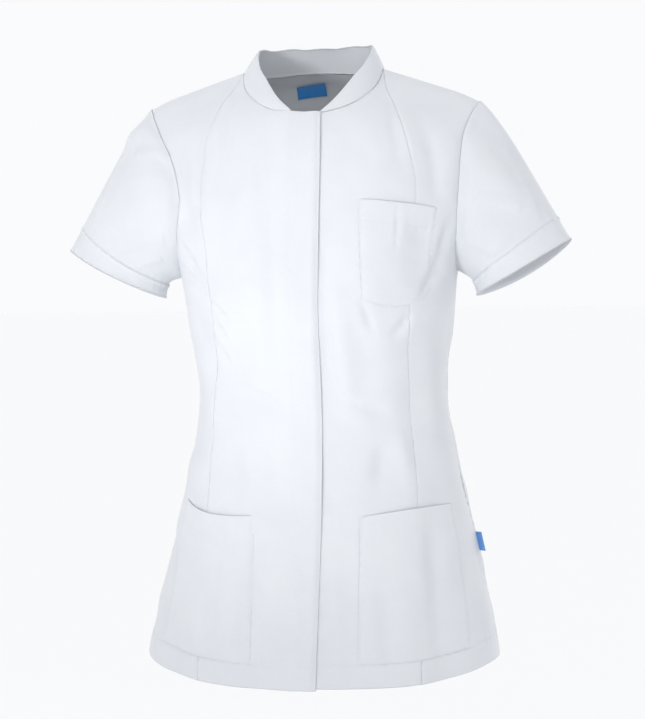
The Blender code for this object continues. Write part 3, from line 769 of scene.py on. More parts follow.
def away_from_side(face: Face, side: Side, angle: Array, drop: Array) -> Array:
    """Fades the relief out towards the armhole and the side seam, where the next piece starts."""
    return eased((FORM.armhole_angle(face, side, drop) - np.abs(angle)) / RELIEF_FADE)


def edge_roll(distance: Array, depth: float, reach: float = 0.0016) -> Array:
    """How an edge turns in towards its seam."""
    return -depth * soft_line(distance, reach)


def pucker(distance: Array, along: Array, seed: float, height: float = 0.00028) -> Array:
    """The short uneven waves that sewing draws into the cloth beside a seam.

    Args:
        distance: Distances from the seam.
        along: Distances along it.
        seed: Shifts the waves along the seam.
        height: The waves' height.

    Returns:
        One height for each point.
    """
    long, short = PUCKER_LENGTHS
    wave = np.sin(along * TURN / long + 2.2 * np.sin(along * 31 + seed) + seed)
    wave = wave + 0.6 * np.sin(along * TURN / short + 1.7 * np.sin(along * 47 + seed))
    return height * wave * np.exp(-distance / PUCKER_FADE)


def stitched_groove(distance: Array, depth: float = 0.00030) -> Array:
    """The line that a row of stitches presses into the cloth."""
    return -depth * soft_line(distance, GROOVE_REACH)


@dataclass(frozen=True)
class SeamFinish:
    """How the cloth turns in at a seam, and the puckers that its stitches draw."""

    roll: float
    gather: float
    seed: float

    def relief(self, distance: Array, along: Array) -> Array:
        """The height at distances from the seam and along it."""
        return edge_roll(distance, self.roll) + pucker(distance, along, self.seed, self.gather)


PRESSED_SEAM = SeamFinish(0.0004, 0.00030, 1.0)
ARMHOLE_SEAM = SeamFinish(0.0002, 0.00028, 2.3)
SIDE_SEAM = SeamFinish(0.0010, 0.00030, 3.1)
NECK_SEAM = SeamFinish(0.0006, 0.00022, 4.2)


# Grids and shells

EDGE_STOPS = (0.0, 0.0005, 0.0011, 0.0018, 0.0027, 0.0040)
RIM_BULGE = 0.42


def edge_stops(width: float, pitch: float, starts: Sequence[float] = EDGE_STOPS) -> Array:
    """Stops across a piece, close together at its edges.

    Args:
        width: The piece's whole width.
        pitch: The usual distance between stops.
        starts: Extra distances from the first edge. The last edge has its usual ones.

    Returns:
        Stops as shares from 0 to 1.
    """
    inner = np.arange(max(starts) + pitch, width - max(EDGE_STOPS) - pitch / 2, pitch)
    stops = np.concatenate([starts, inner, width - np.array(EDGE_STOPS)[::-1]]) / width
    return np.unique(np.round(stops, 9))


def add_object(name: str, data: bpy.types.ID) -> Object:
    """A new object of the scene.

    Args:
        name: Its name.
        data: Its mesh, lamp or camera.

    Returns:
        The object.
    """
    obj = bpy.data.objects.new(name, data)
    bpy.context.scene.collection.objects.link(obj)
    return obj


def add_piece(
    name: str, verts: Array, quads: Array, material: Material, slot: str, uvs: Array | None = None
) -> Object:
    """Turns points and quads into a smooth object that rides on the tunic.

    Args:
        name: The object's name.
        verts: Its points.
        quads: Its faces.
        material: Its finish.
        slot: Not used.
        uvs: A texture place for each point, in metres.

    Returns:
        The new object.
    """
    mesh = bpy.data.meshes.new(name)
    mesh.from_pydata(verts.tolist(), [], quads.tolist())
    if uvs is not None:
        mesh.uv_layers.new(name="cloth").data.foreach_set("uv", uvs[quads.reshape(-1)].reshape(-1))
    mesh.materials.append(material)
    mesh.shade_smooth()
    obj = add_object(name, mesh)
    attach(obj, "root")
    return obj


@dataclass
class Shell:
    """A thin wall of cloth on a grid of points, with its texture places in metres."""

    name: str
    points: Array
    normals: Array
    thickness: float = CLOTH
    closed: bool = False
    flip: bool = False
    slot: str = "white_twill"
    doubled: Array | float = 0.0
    u: Array = field(init=False)
    v: Array = field(init=False)

    def __post_init__(self) -> None:
        """Measures the distances across and along the grid."""
        self.u = run_lengths(self.points, 1)
        self.v = run_lengths(self.points)

    @property
    def to_end(self) -> Array:
        """The distance from each point across to the last column."""
        return self.u[:, -1:] - self.u

    @property
    def to_foot(self) -> Array:
        """The distance from each point down to the last row."""
        return self.v[-1:] - self.v

    def raise_by(self, height: Array) -> None:
        """Moves the points out along their normals."""
        self.points = self.points + self.normals * height[..., None]

    def refresh_normals(self) -> None:
        """Takes the normals from the grid itself, so that the inside follows the outside."""
        if self.closed:
            across = np.roll(self.points, -1, axis=1) - np.roll(self.points, 1, axis=1)
        else:
            across = np.gradient(self.points, axis=1)
        found = unit(np.cross(across, np.gradient(self.points, axis=0)))
        turned = np.sum(found * self.normals, axis=-1, keepdims=True)
        self.normals = np.where(turned < 0, -found, found)

    def flat_size(self) -> tuple[float, float, float]:
        """The piece's width, length and area, measured over its outer side.

        Returns:
            The width, the length and the area.
        """
        a, b = self.points[1:] - self.points[:-1], self.points[:, 1:] - self.points[:, :-1]
        area = np.linalg.norm(np.cross(a[:, :-1], b[:-1]), axis=-1).sum()
        across = self.u[:, -1].max()
        if self.closed:
            across += np.linalg.norm(self.points[:, 0] - self.points[:, -1], axis=-1).max()
        return float(across), float(self.v[-1].max()), float(area)

    def build(self, material: Material) -> Object:
        """Makes the piece's mesh.

        Args:
            material: The finish of the whole piece.

        Returns:
            The new object, riding on the tunic.
        """
        self.refresh_normals()
        rows, columns = self.points.shape[:2]
        wall = np.broadcast_to(self.thickness + self.doubled, (rows, columns)).reshape(-1)
        outer, ups = self.points.reshape(-1, 3), self.normals.reshape(-1, 3)
        inner = outer - ups * wall[:, None]
        verts = [outer, inner]
        uvs = [np.stack([self.u, self.v], axis=-1).reshape(-1, 2)] * 2
        index = np.arange(rows * columns).reshape(rows, columns)
        if self.closed:
            index = np.concatenate([index, index[:, :1]], axis=1)
        skin = np.stack([index[:-1, :-1], index[1:, :-1], index[1:, 1:], index[:-1, 1:]], axis=-1)
        quads = [skin.reshape(-1, 4)[:, ::-1] if self.flip else skin.reshape(-1, 4)]
        quads.append(quads[0][:, ::-1] + rows * columns)
        offset = 2 * rows * columns
        for line, beside in self.rims(index):
            away = unit(outer[line] - outer[beside])
            middle = np.arange(len(line)) + offset
            quads.append(self.rim_quads(outer, line, middle, rows * columns, away))
            verts.append((outer[line] + inner[line]) / 2 + away * wall[line][:, None] * RIM_BULGE)
            uvs.append(uvs[0][line])
            offset += len(line)
        verts, quads, uvs = (np.concatenate(parts) for parts in (verts, quads, uvs))
        return add_piece(self.name + "_cloth", verts, quads, material, self.slot, uvs)

    def rims(self, index: Array) -> list[tuple[Array, Array]]:
        """Each open edge as a line of points, with the line beside it.

        Args:
            index: The grid of point numbers.

        Returns:
            The pairs of lines, as point numbers.
        """
        ends = [(index[0], index[1]), (index[-1], index[-2])]
        if self.closed:
            return ends
        return ends + [(index[:, 0], index[:, 1]), (index[:, -1], index[:, -2])]

    def rim_quads(self, outer: Array, line: Array, middle: Array, inner: int, away: Array) -> Array:
        """Two rows of quads round an edge, over a middle line of new points.

        Args:
            outer: The points of the outer side.
            line: The edge's points.
            middle: The new points beside them.
            inner: How much later the inner side's points are numbered.
            away: The way that each point of the edge faces.

        Returns:
            The quads, facing out.
        """
        along = outer[line[1]] - outer[line[0]] + outer[line[-1]] - outer[line[-2]]
        facing = np.cross(away.mean(axis=0), along)
        over = np.stack([line[:-1], line[1:], middle[1:], middle[:-1]], axis=-1)
        under = np.stack([middle[:-1], middle[1:], line[1:] + inner, line[:-1] + inner], axis=-1)
        quads = np.concatenate([over, under])
        outwards = np.dot(facing, self.normals.reshape(-1, 3)[line].mean(axis=0)) > 0
        return quads if outwards else quads[:, ::-1]

    def line_at(self, distance: Array, value: float, axis: int = 0) -> tuple[Array, Array]:
        """The line of points where a distance has a value.

        Args:
            distance: Distances that rise or fall steadily along the axis.
            value: The distance of the line.
            axis: 0 for a line across the grid, 1 for a line along it.

        Returns:
            The line's points and the normals there.
        """
        both = np.concatenate([self.points, self.normals], axis=-1)
        if axis == 1:
            both, distance = both.swapaxes(0, 1), distance.T
        found = []
        for j in range(both.shape[1]):
            order = slice(None) if distance[0, j] < distance[-1, j] else slice(None, None, -1)
            found.append([np.interp(value, distance[order, j], both[order, j, k]) for k in range(6)])
        line = np.array(found)
        return line[:, :3], unit(line[:, 3:])


# Finishes

REAL_BANDS = math.pi / 10 / 2  # turns bands a metre into a wave texture's scale


def linear(hex_colour: str) -> tuple[float, float, float, float]:
    """A colour for Blender from sRGB hex.

    Args:
        hex_colour: Six hex digits after a hash.

    Returns:
        Linear red, green, blue and an alpha of 1.
    """
    parts = [int(hex_colour[i : i + 2], 16) / 255 for i in (1, 3, 5)]
    red, green, blue = (c / 12.92 if c <= 0.04045 else ((c + 0.055) / 1.055) ** 2.4 for c in parts)
    return (red, green, blue, 1.0)


class NodeBoard:
    """A node tree, with one way to add to it."""

    def __init__(self, tree: bpy.types.NodeTree, shader: str) -> None:
        """Works on a tree and the shader that it has from the start."""
        self.tree = tree
        self.shader = tree.nodes[shader]

    def add(self, kind: str, settings: dict[str, object] | None = None, **inputs: object) -> bpy.types.Node:
        """Adds a node with its settings, and sets or links its inputs.

        Args:
            kind: The node's type, after "ShaderNode".
            settings: Properties of the node.
            inputs: Input names or numbers, with spaces as underscores, to values or sockets.

        Returns:
            The new node.
        """
        node = self.tree.nodes.new("ShaderNode" + kind)
        for key, value in (settings or {}).items():
            setattr(node, key, value)
        self.join(node, **inputs)
        return node

    def join(self, node: bpy.types.Node, **inputs: object) -> None:
        """Sets or links a node's inputs by name.

        Args:
            node: The node.
            inputs: Its inputs, as values or sockets.
        """
        for key, value in inputs.items():
            name = key.replace("_", " ")
            socket = node.inputs[int(name)] if name.isdigit() else node.inputs[name]
            if isinstance(value, Socket):
                self.tree.links.new(value, socket)
            else:
                socket.default_value = value

    def finish(self, **inputs: object) -> None:
        """Sets or links the shader's inputs."""
        self.join(self.shader, **inputs)

    def cloth_places(self) -> Socket:
        """Places on the flat cloth, in metres."""
        return self.add("UVMap", {"uv_map": "cloth"}).outputs["UV"]

    def solid_places(self) -> Socket:
        """Places in the object's own space, in metres."""
        return self.add("TexCoord").outputs["Object"]

    def noise(self, places: Socket, size: float, detail: float, **inputs: object) -> Socket:
        """Soft patches of about a size."""
        return self.add("TexNoise", Vector=places, Scale=1 / size, Detail=detail, **inputs).outputs["Fac"]

    def bands(self, places: Socket, pitch: float, way: str, **inputs: object) -> Socket:
        """Ribs at a pitch, across one direction."""
        settings, scale = {"wave_type": "BANDS", "bands_direction": way}, 1 / pitch * REAL_BANDS
        return self.add("TexWave", settings, Vector=places, Scale=scale, **inputs).outputs["Fac"]

    def bump(self, height: Socket, depth: float, strength: float, **inputs: object) -> Socket:
        """The normals of a fine relief, which the shader takes.

        Args:
            height: The relief.
            depth: Its depth.
            strength: How strongly it shows.
            inputs: More of its inputs, as values or sockets.

        Returns:
            The normals' socket.
        """
        node = self.add("Bump", Height=height, Distance=depth, Strength=strength, **inputs)
        self.finish(Normal=node.outputs[0])
        return node.outputs[0]

    def blend(self, share: Socket, first: str, second: str) -> None:
        """Colours the shader between two colours."""
        inputs = {"0": share, "6": linear(first), "7": linear(second)}
        self.finish(Base_Color=self.add("Mix", {"data_type": "RGBA"}, **inputs).outputs[2])


@dataclass(frozen=True)
class Finish:
    """A real material, as the eye sees it."""

    name: str

    def make(self) -> Material:
        """Builds the finish's nodes and returns the material.

        Returns:
            The material.
        """
        material = bpy.data.materials.new(self.name)
        material.use_nodes = True
        self.lay(NodeBoard(material.node_tree, "Principled BSDF"))
        return material

    def lay(self, board: NodeBoard) -> None:
        """Adds the finish's own nodes."""


@dataclass(frozen=True)
class TwillFinish(Finish):
    """Polyester-cotton twill, woven, bleached white and pressed.

    The eye gets a matt, faintly cool white with a fine diagonal rib, slightly
    uneven yarns, and a weak bloom at grazing angles from the fibre ends.
    """

    name: str = "polyester_cotton_twill"
    light: str = "#DADCE0"
    shade: str = "#D5D8DD"
    rib_pitch: float = 0.9 * MM  # real ribs are 0.4 mm apart, too fine for the render, so drawn coarser
    rib_depth: float = 0.05 * MM
    rib_slant: float = math.radians(32)
    tone_size: float = 60 * MM
    fleck_size: float = 3.5 * MM
    slub_size: float = 1.6 * MM
    slub_depth: float = 0.12 * MM

    def lay(self, board: NodeBoard) -> None:
        """Adds the cloth's tone, ribs and uneven yarns.

        Args:
            board: The nodes to add to.
        """
        board.finish(Roughness=0.82, Sheen_Weight=0.18, Sheen_Roughness=0.45)
        board.finish(Specular_IOR_Level=0.25, IOR=1.5)
        places = board.cloth_places()
        tone = board.noise(board.solid_places(), self.tone_size, 3.0, Roughness=0.55)
        fleck = board.noise(places, self.fleck_size, 2.0)
        mixed = board.add("Math", {"operation": "MULTIPLY_ADD"}, **{"0": fleck, "1": 0.35, "2": tone})
        share = board.add("MapRange", Value=mixed.outputs[0], From_Min=0.45, From_Max=0.95)
        board.blend(share.outputs[0], self.light, self.shade)
        slanted = board.add("Mapping", Vector=places, Rotation=(0, 0, self.rib_slant)).outputs[0]
        ribs = board.bands(slanted, self.rib_pitch, "X", Distortion=1.2, Detail=1.0, Detail_Scale=2.0)
        ribbed = board.bump(ribs, self.rib_depth, 0.6)
        board.bump(board.noise(places, self.slub_size, 2.0), self.slub_depth, 0.5, Normal=ribbed)


@dataclass(frozen=True)
class ThreadFinish(Finish):
    """Spun polyester sewing thread, a little glossier than the cloth."""

    name: str = "spun_polyester_thread"
    colour: str = "#D8DBDF"
    twist_pitch: float = 0.6 * MM
    twist_depth: float = 0.1 * MM

    def lay(self, board: NodeBoard) -> None:
        """Adds the thread's colour and twist."""
        board.finish(Base_Color=linear(self.colour), Roughness=0.55)
        board.bump(board.noise(board.solid_places(), self.twist_pitch, 1.0), self.twist_depth, 0.4)


@dataclass(frozen=True)
class LabelFinish(Finish):
    """Woven polyester label tape in blue.

    The eye gets a smooth satin with fine ribs across the tape.
    """

    colour: str
    edge: str
    grain_size: float = 1.2 * MM
    rib_pitch: float = 0.7 * MM
    rib_depth: float = 0.08 * MM

    def lay(self, board: NodeBoard) -> None:
        """Adds the tape's colour and ribs.

        Args:
            board: The nodes to add to.
        """
        board.finish(Roughness=0.48, Sheen_Weight=0.3)
        places = board.cloth_places()
        board.blend(board.noise(places, self.grain_size, 2.0), self.colour, self.edge)
        board.bump(board.bands(places, self.rib_pitch, "Y"), self.rib_depth, 0.7)


@dataclass(frozen=True)
class StudFinish(Finish):
    """Nickel-plated brass, pressed into shape, with a satin of fine rubbing."""

    name: str = "nickel_plated_brass"
    colour: str = "#C6C4BE"
    rub_size: float = 0.5 * MM

    def lay(self, board: NodeBoard) -> None:
        """Adds the metal's colour and rubbing.

        Args:
            board: The nodes to add to.
        """
        rub = board.noise(board.solid_places(), self.rub_size, 3.0)
        rough = board.add("MapRange", Value=rub, To_Min=0.22, To_Max=0.42).outputs[0]
        board.finish(Base_Color=linear(self.colour), Metallic=1.0, Roughness=rough)


@dataclass(frozen=True)
class FloorFinish(Finish):
    """Matt paint on the floor of a photographer's studio, an even near white."""

    name: str = "matt_floor_paint"
    colour: str = "#FAFAFA"

    def lay(self, board: NodeBoard) -> None:
        """Adds the paint's colour."""
        board.finish(Base_Color=linear(self.colour), Roughness=0.95, Specular_IOR_Level=0.1)


# Stitches

STITCH_STOPS = np.array([0.0, 0.18, 0.5, 0.82, 1.0])
STITCH_SWELL = np.array([0.25, 0.85, 1.0, 0.85, 0.25])
STITCH_RISE = np.array([-0.9, 0.15, 0.5, 0.15, -0.9])


@dataclass
class StitchRow:
    """Rows of lockstitches along lines on the cloth, as one object."""

    pitch: float = 2.6 * MM
    length: float = 2.0 * MM
    radius: float = 0.22 * MM
    sides: int = 5
    verts: list[Array] = field(default_factory=list)
    quads: list[Array] = field(default_factory=list)
    count: int = 0

    def add(self, line: Array, normals: Array) -> None:
        """Adds stitches along a line of points.

        Args:
            line: Points on the cloth's outer side.
            normals: The outward normals there.
        """
        at, both = run_lengths(line), np.concatenate([line, normals], axis=-1)
        turn = np.arange(self.sides) * TURN / self.sides
        stops = len(STITCH_STOPS)
        for start in np.arange(self.pitch / 2, at[-1] - self.length, self.pitch):
            places = start + STITCH_STOPS * self.length
            read = np.stack([np.interp(places, at, both[:, k]) for k in range(6)], axis=-1)
            points, up = read[:, :3], unit(read[:, 3:])
            beside = unit(np.cross(np.broadcast_to(unit(points[-1:] - points[:1]), up.shape), up))
            centre = points + up * (STITCH_RISE * self.radius)[:, None]
            ring = beside[:, None] * np.cos(turn)[None, :, None] + up[:, None] * np.sin(turn)[None, :, None]
            swell = (STITCH_SWELL * self.radius)[:, None, None]
            self.verts.append((centre[:, None] + ring * swell).reshape(-1, 3))
            index = np.arange(stops * self.sides).reshape(stops, self.sides) + self.count
            after = np.roll(index, -1, axis=1)
            around = np.stack([index[:-1], after[:-1], after[1:], index[1:]], axis=-1)
            self.quads += [around.reshape(-1, 4), index[:1, 3::-1]]
            self.count += stops * self.sides

    def build(self, name: str, material: Material) -> None:
        """Makes one object of all the stitches added."""
        add_piece(name, np.concatenate(self.verts), np.concatenate(self.quads), material, "white_twill")


@dataclass(frozen=True)
class Finishes:
    """The materials of the whole tunic and its floor."""

    twill: Material
    thread: Material
    neck_tape: Material
    side_tape: Material
    metal: Material
    floor: Material


@dataclass(frozen=True)
class Cut:
    """The flat cloth that a piece was cut from: its width, length and area."""

    width: float
    length: float
    area: float

    def declare(self, piece: Object) -> None:
        """Does nothing with the piece; its flat size is kept only in this object."""


# Body panels

ROWS_ABOVE_UNDERARM = 56
BODY_PITCH = 2.9 * MM
COLUMN_PITCH = {Face.FRONT: 2.4 * MM, Face.BACK: 3.2 * MM}
SIDE_PANEL_WIDTH = 0.135
WAIST_DROP = 0.35
STITCH_ROWS = (0.0245, 0.0258, 0.0270, 0.0282, 0.0295)
HEM_ROWS = (0.0, 0.0006, 0.0014, 0.0024, 0.0045, 0.0085, 0.0130, 0.0175, 0.0213, *STITCH_ROWS)
HEM_STEP = 0.00028
HEM_STEP_REACH = 0.003
HEM_STEP_START = HEM_DEPTH + 0.0035
SHOULDER_ROLL = 0.0007
SHOULDER_FADE = 0.004


def row_drops(top: Array, hem: Array) -> Array:
    """Drops of a panel's rows, the same count for each column.

    Args:
        top: Each column's drop at its top.
        hem: Each column's drop at the hem.

    Returns:
        A grid of drops, a row for each line of points.
    """
    above = (1 - np.cos(math.pi * np.arange(ROWS_ABOVE_UNDERARM + 1) / ROWS_ABOVE_UNDERARM)) / 2
    upper = between(top[None, :], UNDERARM, above[:, None])
    count = int((LENGTH - UNDERARM - max(HEM_ROWS)) / BODY_PITCH)
    plain = np.arange(1, count) / count
    lower = UNDERARM + plain[:, None] * (hem - UNDERARM - max(HEM_ROWS))[None, :]
    return np.concatenate([upper, lower, hem[None, :] - np.array(HEM_ROWS)[::-1, None]])


def neck_top(face: Face, side: Side, shares: Array) -> Array:
    """The reach of a centre panel's columns at the neck, through the solid's own points.

    Args:
        face: The front or the back.
        side: The wearer's side.
        shares: Shares across the panel from its inner edge.

    Returns:
        The reaches from the middle.
    """
    steps = SHAPES[face].neck_steps()
    knots = np.concatenate([[0.0], steps])
    if face is Face.FRONT:
        edge = float(lap_edge(side, np.array(SHAPES[face].neck_drop)))
        knots = np.concatenate([[edge, COLLAR_END], steps[steps > COLLAR_END]])
    return np.interp(shares, np.linspace(0, 1, len(knots)), knots)


def second_layer(depth: float, distance: Array) -> Array:
    """The second layer behind a band, as far as its inner fold."""
    return SECOND_LAYER * eased((depth + 0.0010 - distance) / 0.0012)


def hem_relief(shell: Shell) -> Array:
    """The stitched line above the hem, the soft step of the turn-up and its rolled edge.

    Args:
        shell: The shell to read.

    Returns:
        One height for each point.
    """
    above = shell.to_foot
    step = HEM_STEP * eased((HEM_STEP_START - above) / HEM_STEP_REACH)
    groove = stitched_groove(above - HEM_DEPTH, depth=0.00055)
    wave = pucker(np.abs(above - HEM_DEPTH), shell.u, seed=5.0, height=0.00034)
    return step + groove + wave + edge_roll(above, 0.00055, reach=0.0011)


@dataclass
class BodyPanel:
    """A piece of the body, from the neck or shoulder to the hem."""

    name: str
    face: Face
    side: Side
    cut: Cut

    def lay(self, angle: Array, drop: Array, flip: bool, shift: Array | float = 0.0) -> Shell:
        """A shell on the form, with the creases and waves of its face.

        Args:
            angle: Angles from the middle.
            drop: Drops below the shoulder line.
            flip: Whether the grid's order turns its outer side inwards.
            shift: How far the panel stands out from the form.

        Returns:
            The shell.
        """
        points, normals = FORM.sample(self.face, angle, drop)
        points = points + np.array([0.0, SHAPES[self.face].toward * SEAM / 2, 0.0])
        shell = Shell(self.name, points, normals, flip=flip)
        shell.raise_by(shift + 0 * drop)
        relief = face_relief(self.face, shell.points) * eased(drop / RELIEF_BELOW_NECK)
        shell.raise_by(relief * away_from_side(self.face, self.side, angle, drop))
        shell.doubled = second_layer(HEM_DEPTH, shell.to_foot)
        return shell

    def places(self) -> tuple[Array, Array]:
        """Angles and drops from the inner edge of a centre panel to its princess seam.

        Returns:
            The angles and the drops.
        """
        whole = float(FORM.princess(self.face, self.side, np.array(WAIST_DROP)))
        starts = EDGE_STOPS if self.face is Face.FRONT else (0.0,)
        shares = edge_stops(whole, COLUMN_PITCH[self.face], starts)
        reach = neck_top(self.face, self.side, shares)
        top, full = FORM.neck_drop(self.face, reach), np.full_like(shares, LENGTH)
        low = FORM.angle_of(self.face, FORM.princess(self.face, self.side, full) * shares, full)
        drop = row_drops(top, FORM.hem_drop(self.face, self.side.value * np.maximum(low, TINY)))
        edge_top, edge = self.edge(top), self.edge(drop)
        share_top = (reach - edge_top) / (FORM.princess(self.face, self.side, top) - edge_top)
        share = between(share_top[None, :], shares[None, :], eased((drop - top) / COLUMNS_EVEN_BELOW))
        seam = FORM.princess(self.face, self.side, drop) - SEAM / 2
        return FORM.angle_of(self.face, self.side.value * between(edge, seam, share), drop), drop

    def edge(self, drop: Array) -> Array:
        """The reach of the inner edge."""
        return lap_edge(self.side, drop) if self.face is Face.FRONT else np.zeros_like(drop)


@dataclass
class CentreFront(BodyPanel):
    """A centre front. The right one laps over the left and covers the closing."""

    placket: float = 0.0345
    edge_turn: float = 0.0024
    edge_reach: float = 0.0042
    swell: float = 0.0006
    swell_at: float = 0.0075
    swell_reach: float = 0.0045
    drift_reach: float = 0.012
    band_rise: float = 0.00025
    band_reach: float = 0.003
    band_start: float = 0.03

    def shell(self) -> Shell:
        """The panel as a shell.

        Returns:
            The shell.
        """
        angle, drop = self.places()
        points, _ = FORM.sample(self.face, angle, drop)
        shell = self.lay(angle, drop, self.side is Side.RIGHT, lap_lift(self.side, points[..., 0]))
        height = PRESSED_SEAM.relief(shell.to_end, shell.v) + hem_relief(shell)
        height = height + NECK_SEAM.relief(shell.v, shell.u)
        if self.side is Side.RIGHT:
            height = height + self.lap_relief(shell.u, shell.v)
            facing = SECOND_LAYER * eased((self.placket - shell.u) / 0.001)
            shell.doubled = np.maximum(shell.doubled, facing)
        shell.raise_by(height)
        return shell

    def lap_relief(self, reach: Array, down: Array) -> Array:
        """The folded edge over the closing, its soft swell and the placket's stitch line.

        Args:
            reach: Distances from the folded edge.
            down: Distances below the neck seam.

        Returns:
            One height for each point.
        """
        edge = edge_roll(reach, self.edge_turn, self.edge_reach)
        edge = edge + self.swell * soft_line(reach - self.swell_at, self.swell_reach)
        drift = 0.0006 * np.sin(down * 19) + 0.0004 * np.sin(down * 43 + 1.0)
        inside = self.placket - reach
        band = stitched_groove(inside, depth=0.00034) + self.band_rise * eased(inside / self.band_reach)
        wave = pucker(np.abs(inside), down, seed=7.0, height=0.00020)
        drift = drift * np.exp(-reach / self.drift_reach)
        return edge + drift + (band + wave) * eased(down / self.band_start)


@dataclass
class CentreBack(BodyPanel):
    """The middle of the back, cut in one between its two princess seams."""

    def shell(self) -> Shell:
        """The panel as a shell, with a half for each side, as the hem differs a little.

        Returns:
            The shell.
        """
        angle, drop = self.places()
        other = CentreBack(self.name, self.face, Side.RIGHT, self.cut)
        angle = np.concatenate([-angle[:, :0:-1], angle], axis=1)
        drop = np.concatenate([other.places()[1][:, :0:-1], drop], axis=1)
        shell = self.lay(angle, drop, True)
        height = PRESSED_SEAM.relief(np.minimum(shell.u, shell.to_end), shell.v) + hem_relief(shell)
        shell.raise_by(height + NECK_SEAM.relief(shell.v, shell.u))
        return shell


@dataclass
class SidePanel(BodyPanel):
    """A side front or side back, from the princess seam to the armhole and side seam."""

    def places(self) -> tuple[Array, Array]:
        """Angles and drops from the princess seam outwards.

        Returns:
            The angles and the drops.
        """
        shares = edge_stops(SIDE_PANEL_WIDTH, COLUMN_PITCH[self.face])
        full = np.full_like(shares, LENGTH)
        low = FORM.angle_of(self.face, FORM.princess(self.face, self.side, full), full)
        hem = FORM.hem_drop(self.face, self.side.value * between(low, QUARTER, shares))
        drop = row_drops(np.zeros_like(shares), hem)
        start = FORM.angle_of(self.face, FORM.princess(self.face, self.side, drop) + SEAM / 2, drop)
        angle = between(start, FORM.armhole_angle(self.face, self.side, drop), shares[None, :])
        return self.side.value * angle, drop

    def shell(self) -> Shell:
        """The panel as a shell.

        Returns:
            The shell.
        """
        angle, drop = self.places()
        shell = self.lay(angle, drop, (self.side is Side.RIGHT) == (self.face is Face.FRONT))
        at_armhole = ARMHOLE_SEAM.relief(shell.to_end, shell.v)
        outer = np.where(drop < UNDERARM, at_armhole, SIDE_SEAM.relief(shell.to_end, shell.v))
        height = PRESSED_SEAM.relief(shell.u, shell.v) + outer + hem_relief(shell)
        shell.raise_by(height * eased(drop / SHOULDER_FADE) + edge_roll(shell.v, SHOULDER_ROLL))
        return shell


# Sleeves and cuffs

SLEEVE_TURNS = 4 * ROWS_ABOVE_UNDERARM
SLEEVE_DROP = 0.140
SLEEVE_PITCH = 2.6 * MM
CUFF_DEPTH = 0.030
CUFF_PITCH = 1.7 * MM
CUFF_PROUD = 0.0006
CUFF_SWELL = 0.0004
JOIN_FADE = 0.35
END_FADE = 0.06
ARM_STEP = 1e-3
DEGREE_LENGTH = 0.0011
FOLD_SCALE = 150  # degrees round the arm that count as much as its whole length


@dataclass(frozen=True)
class Ring:
    """A ring round the arm, leaning and dipping, on the wearer's left."""

    x: float
    y: float
    z: float
    half_width: float
    half_depth: float
    tilt: float
    pitch: float
    front_dip: float
    back_dip: float

    def at(self, turn: Array) -> Array:
        """Points of the ring at each turn.

        Args:
            turn: Turns from the shoulder over the front.

        Returns:
            One point for each turn.
        """
        tilt = math.radians(self.tilt)
        wide = np.array([math.cos(tilt), 0.0, math.sin(tilt)])
        deep = np.array([0.0, -1.0, self.pitch])
        axis = np.array([math.sin(tilt), 0.0, -math.cos(tilt)])
        dip = np.where(turn % TURN < math.pi, self.front_dip, self.back_dip)
        across = wide * (self.half_width * np.cos(turn))[..., None]
        across = across + deep * (self.half_depth * np.sin(turn))[..., None]
        return np.array([self.x, self.y, self.z]) + across + axis * (dip * np.sin(turn) ** 2)[..., None]


def sleeve_folds(*rows: tuple[float, ...]) -> tuple[Fold, ...]:
    """Folds round a sleeve, from degrees and share down of both ends, half width and height."""
    return tuple(Fold(a / FOLD_SCALE, b, c / FOLD_SCALE, d, *rest) for a, b, c, d, *rest in rows)


@dataclass(frozen=True)
class SleeveSizes:
    """The rings, lean, large folds and creases of one sleeve."""

    seam: Ring
    edge: Ring
    lean: float
    folds: tuple[Fold, ...]
    creases: tuple[Fold, ...]


SLEEVES = {
    Side.RIGHT: SleeveSizes(
        Ring(0.2370, -0.010, -0.2180, 0.0616, 0.046, 35.0, 0.05, 0.006, 0.004),
        Ring(0.2460, -0.012, -0.2390, 0.0635, 0.048, 27.5, 0.05, 0.003, 0.002),
        38.0,
        sleeve_folds(
            (48, 0.05, 20, 0.28, 0.085, -0.0050),
            (70, 0.04, 40, 0.25, 0.085, 0.0035),
            (95, 0.20, 75, 0.70, 0.100, -0.0035),
            (250, 0.10, 290, 0.60, 0.100, -0.0050),
        ),
        sleeve_folds(
            (66, 0.04, 46, 0.28, 0.034, -0.0030),
            (84, 0.10, 60, 0.42, 0.034, -0.0010),
            (120, 0.30, 96, 0.80, 0.034, -0.0014),
            (135, 0.45, 118, 0.92, 0.028, -0.0011),
            (30, 0.35, 52, 0.85, 0.050, 0.0009),
            (215, 0.25, 262, 0.70, 0.036, -0.0015),
            (300, 0.20, 322, 0.75, 0.040, -0.0012),
        ),
    ),
    Side.LEFT: SleeveSizes(
        Ring(0.2350, -0.010, -0.2180, 0.0616, 0.046, 36.5, 0.05, 0.001, 0.004),
        Ring(0.2445, -0.012, -0.2385, 0.0635, 0.048, 30.0, 0.06, 0.003, 0.006),
        33.0,
        sleeve_folds(
            (75, 0.20, 50, 0.75, 0.090, -0.0055),
            (40, 0.10, 22, 0.50, 0.090, 0.0030),
            (110, 0.25, 100, 0.80, 0.100, -0.0040),
            (245, 0.10, 285, 0.65, 0.100, -0.0050),
        ),
        sleeve_folds(
            (92, 0.30, 62, 0.72, 0.034, -0.0028),
            (70, 0.08, 50, 0.30, 0.034, -0.0009),
            (128, 0.30, 112, 0.85, 0.030, -0.0015),
            (30, 0.45, 48, 0.92, 0.040, -0.0010),
            (58, 0.10, 40, 0.40, 0.045, 0.0009),
            (212, 0.25, 258, 0.72, 0.036, -0.0015),
            (304, 0.18, 326, 0.70, 0.040, -0.0012),
        ),
    ),
}


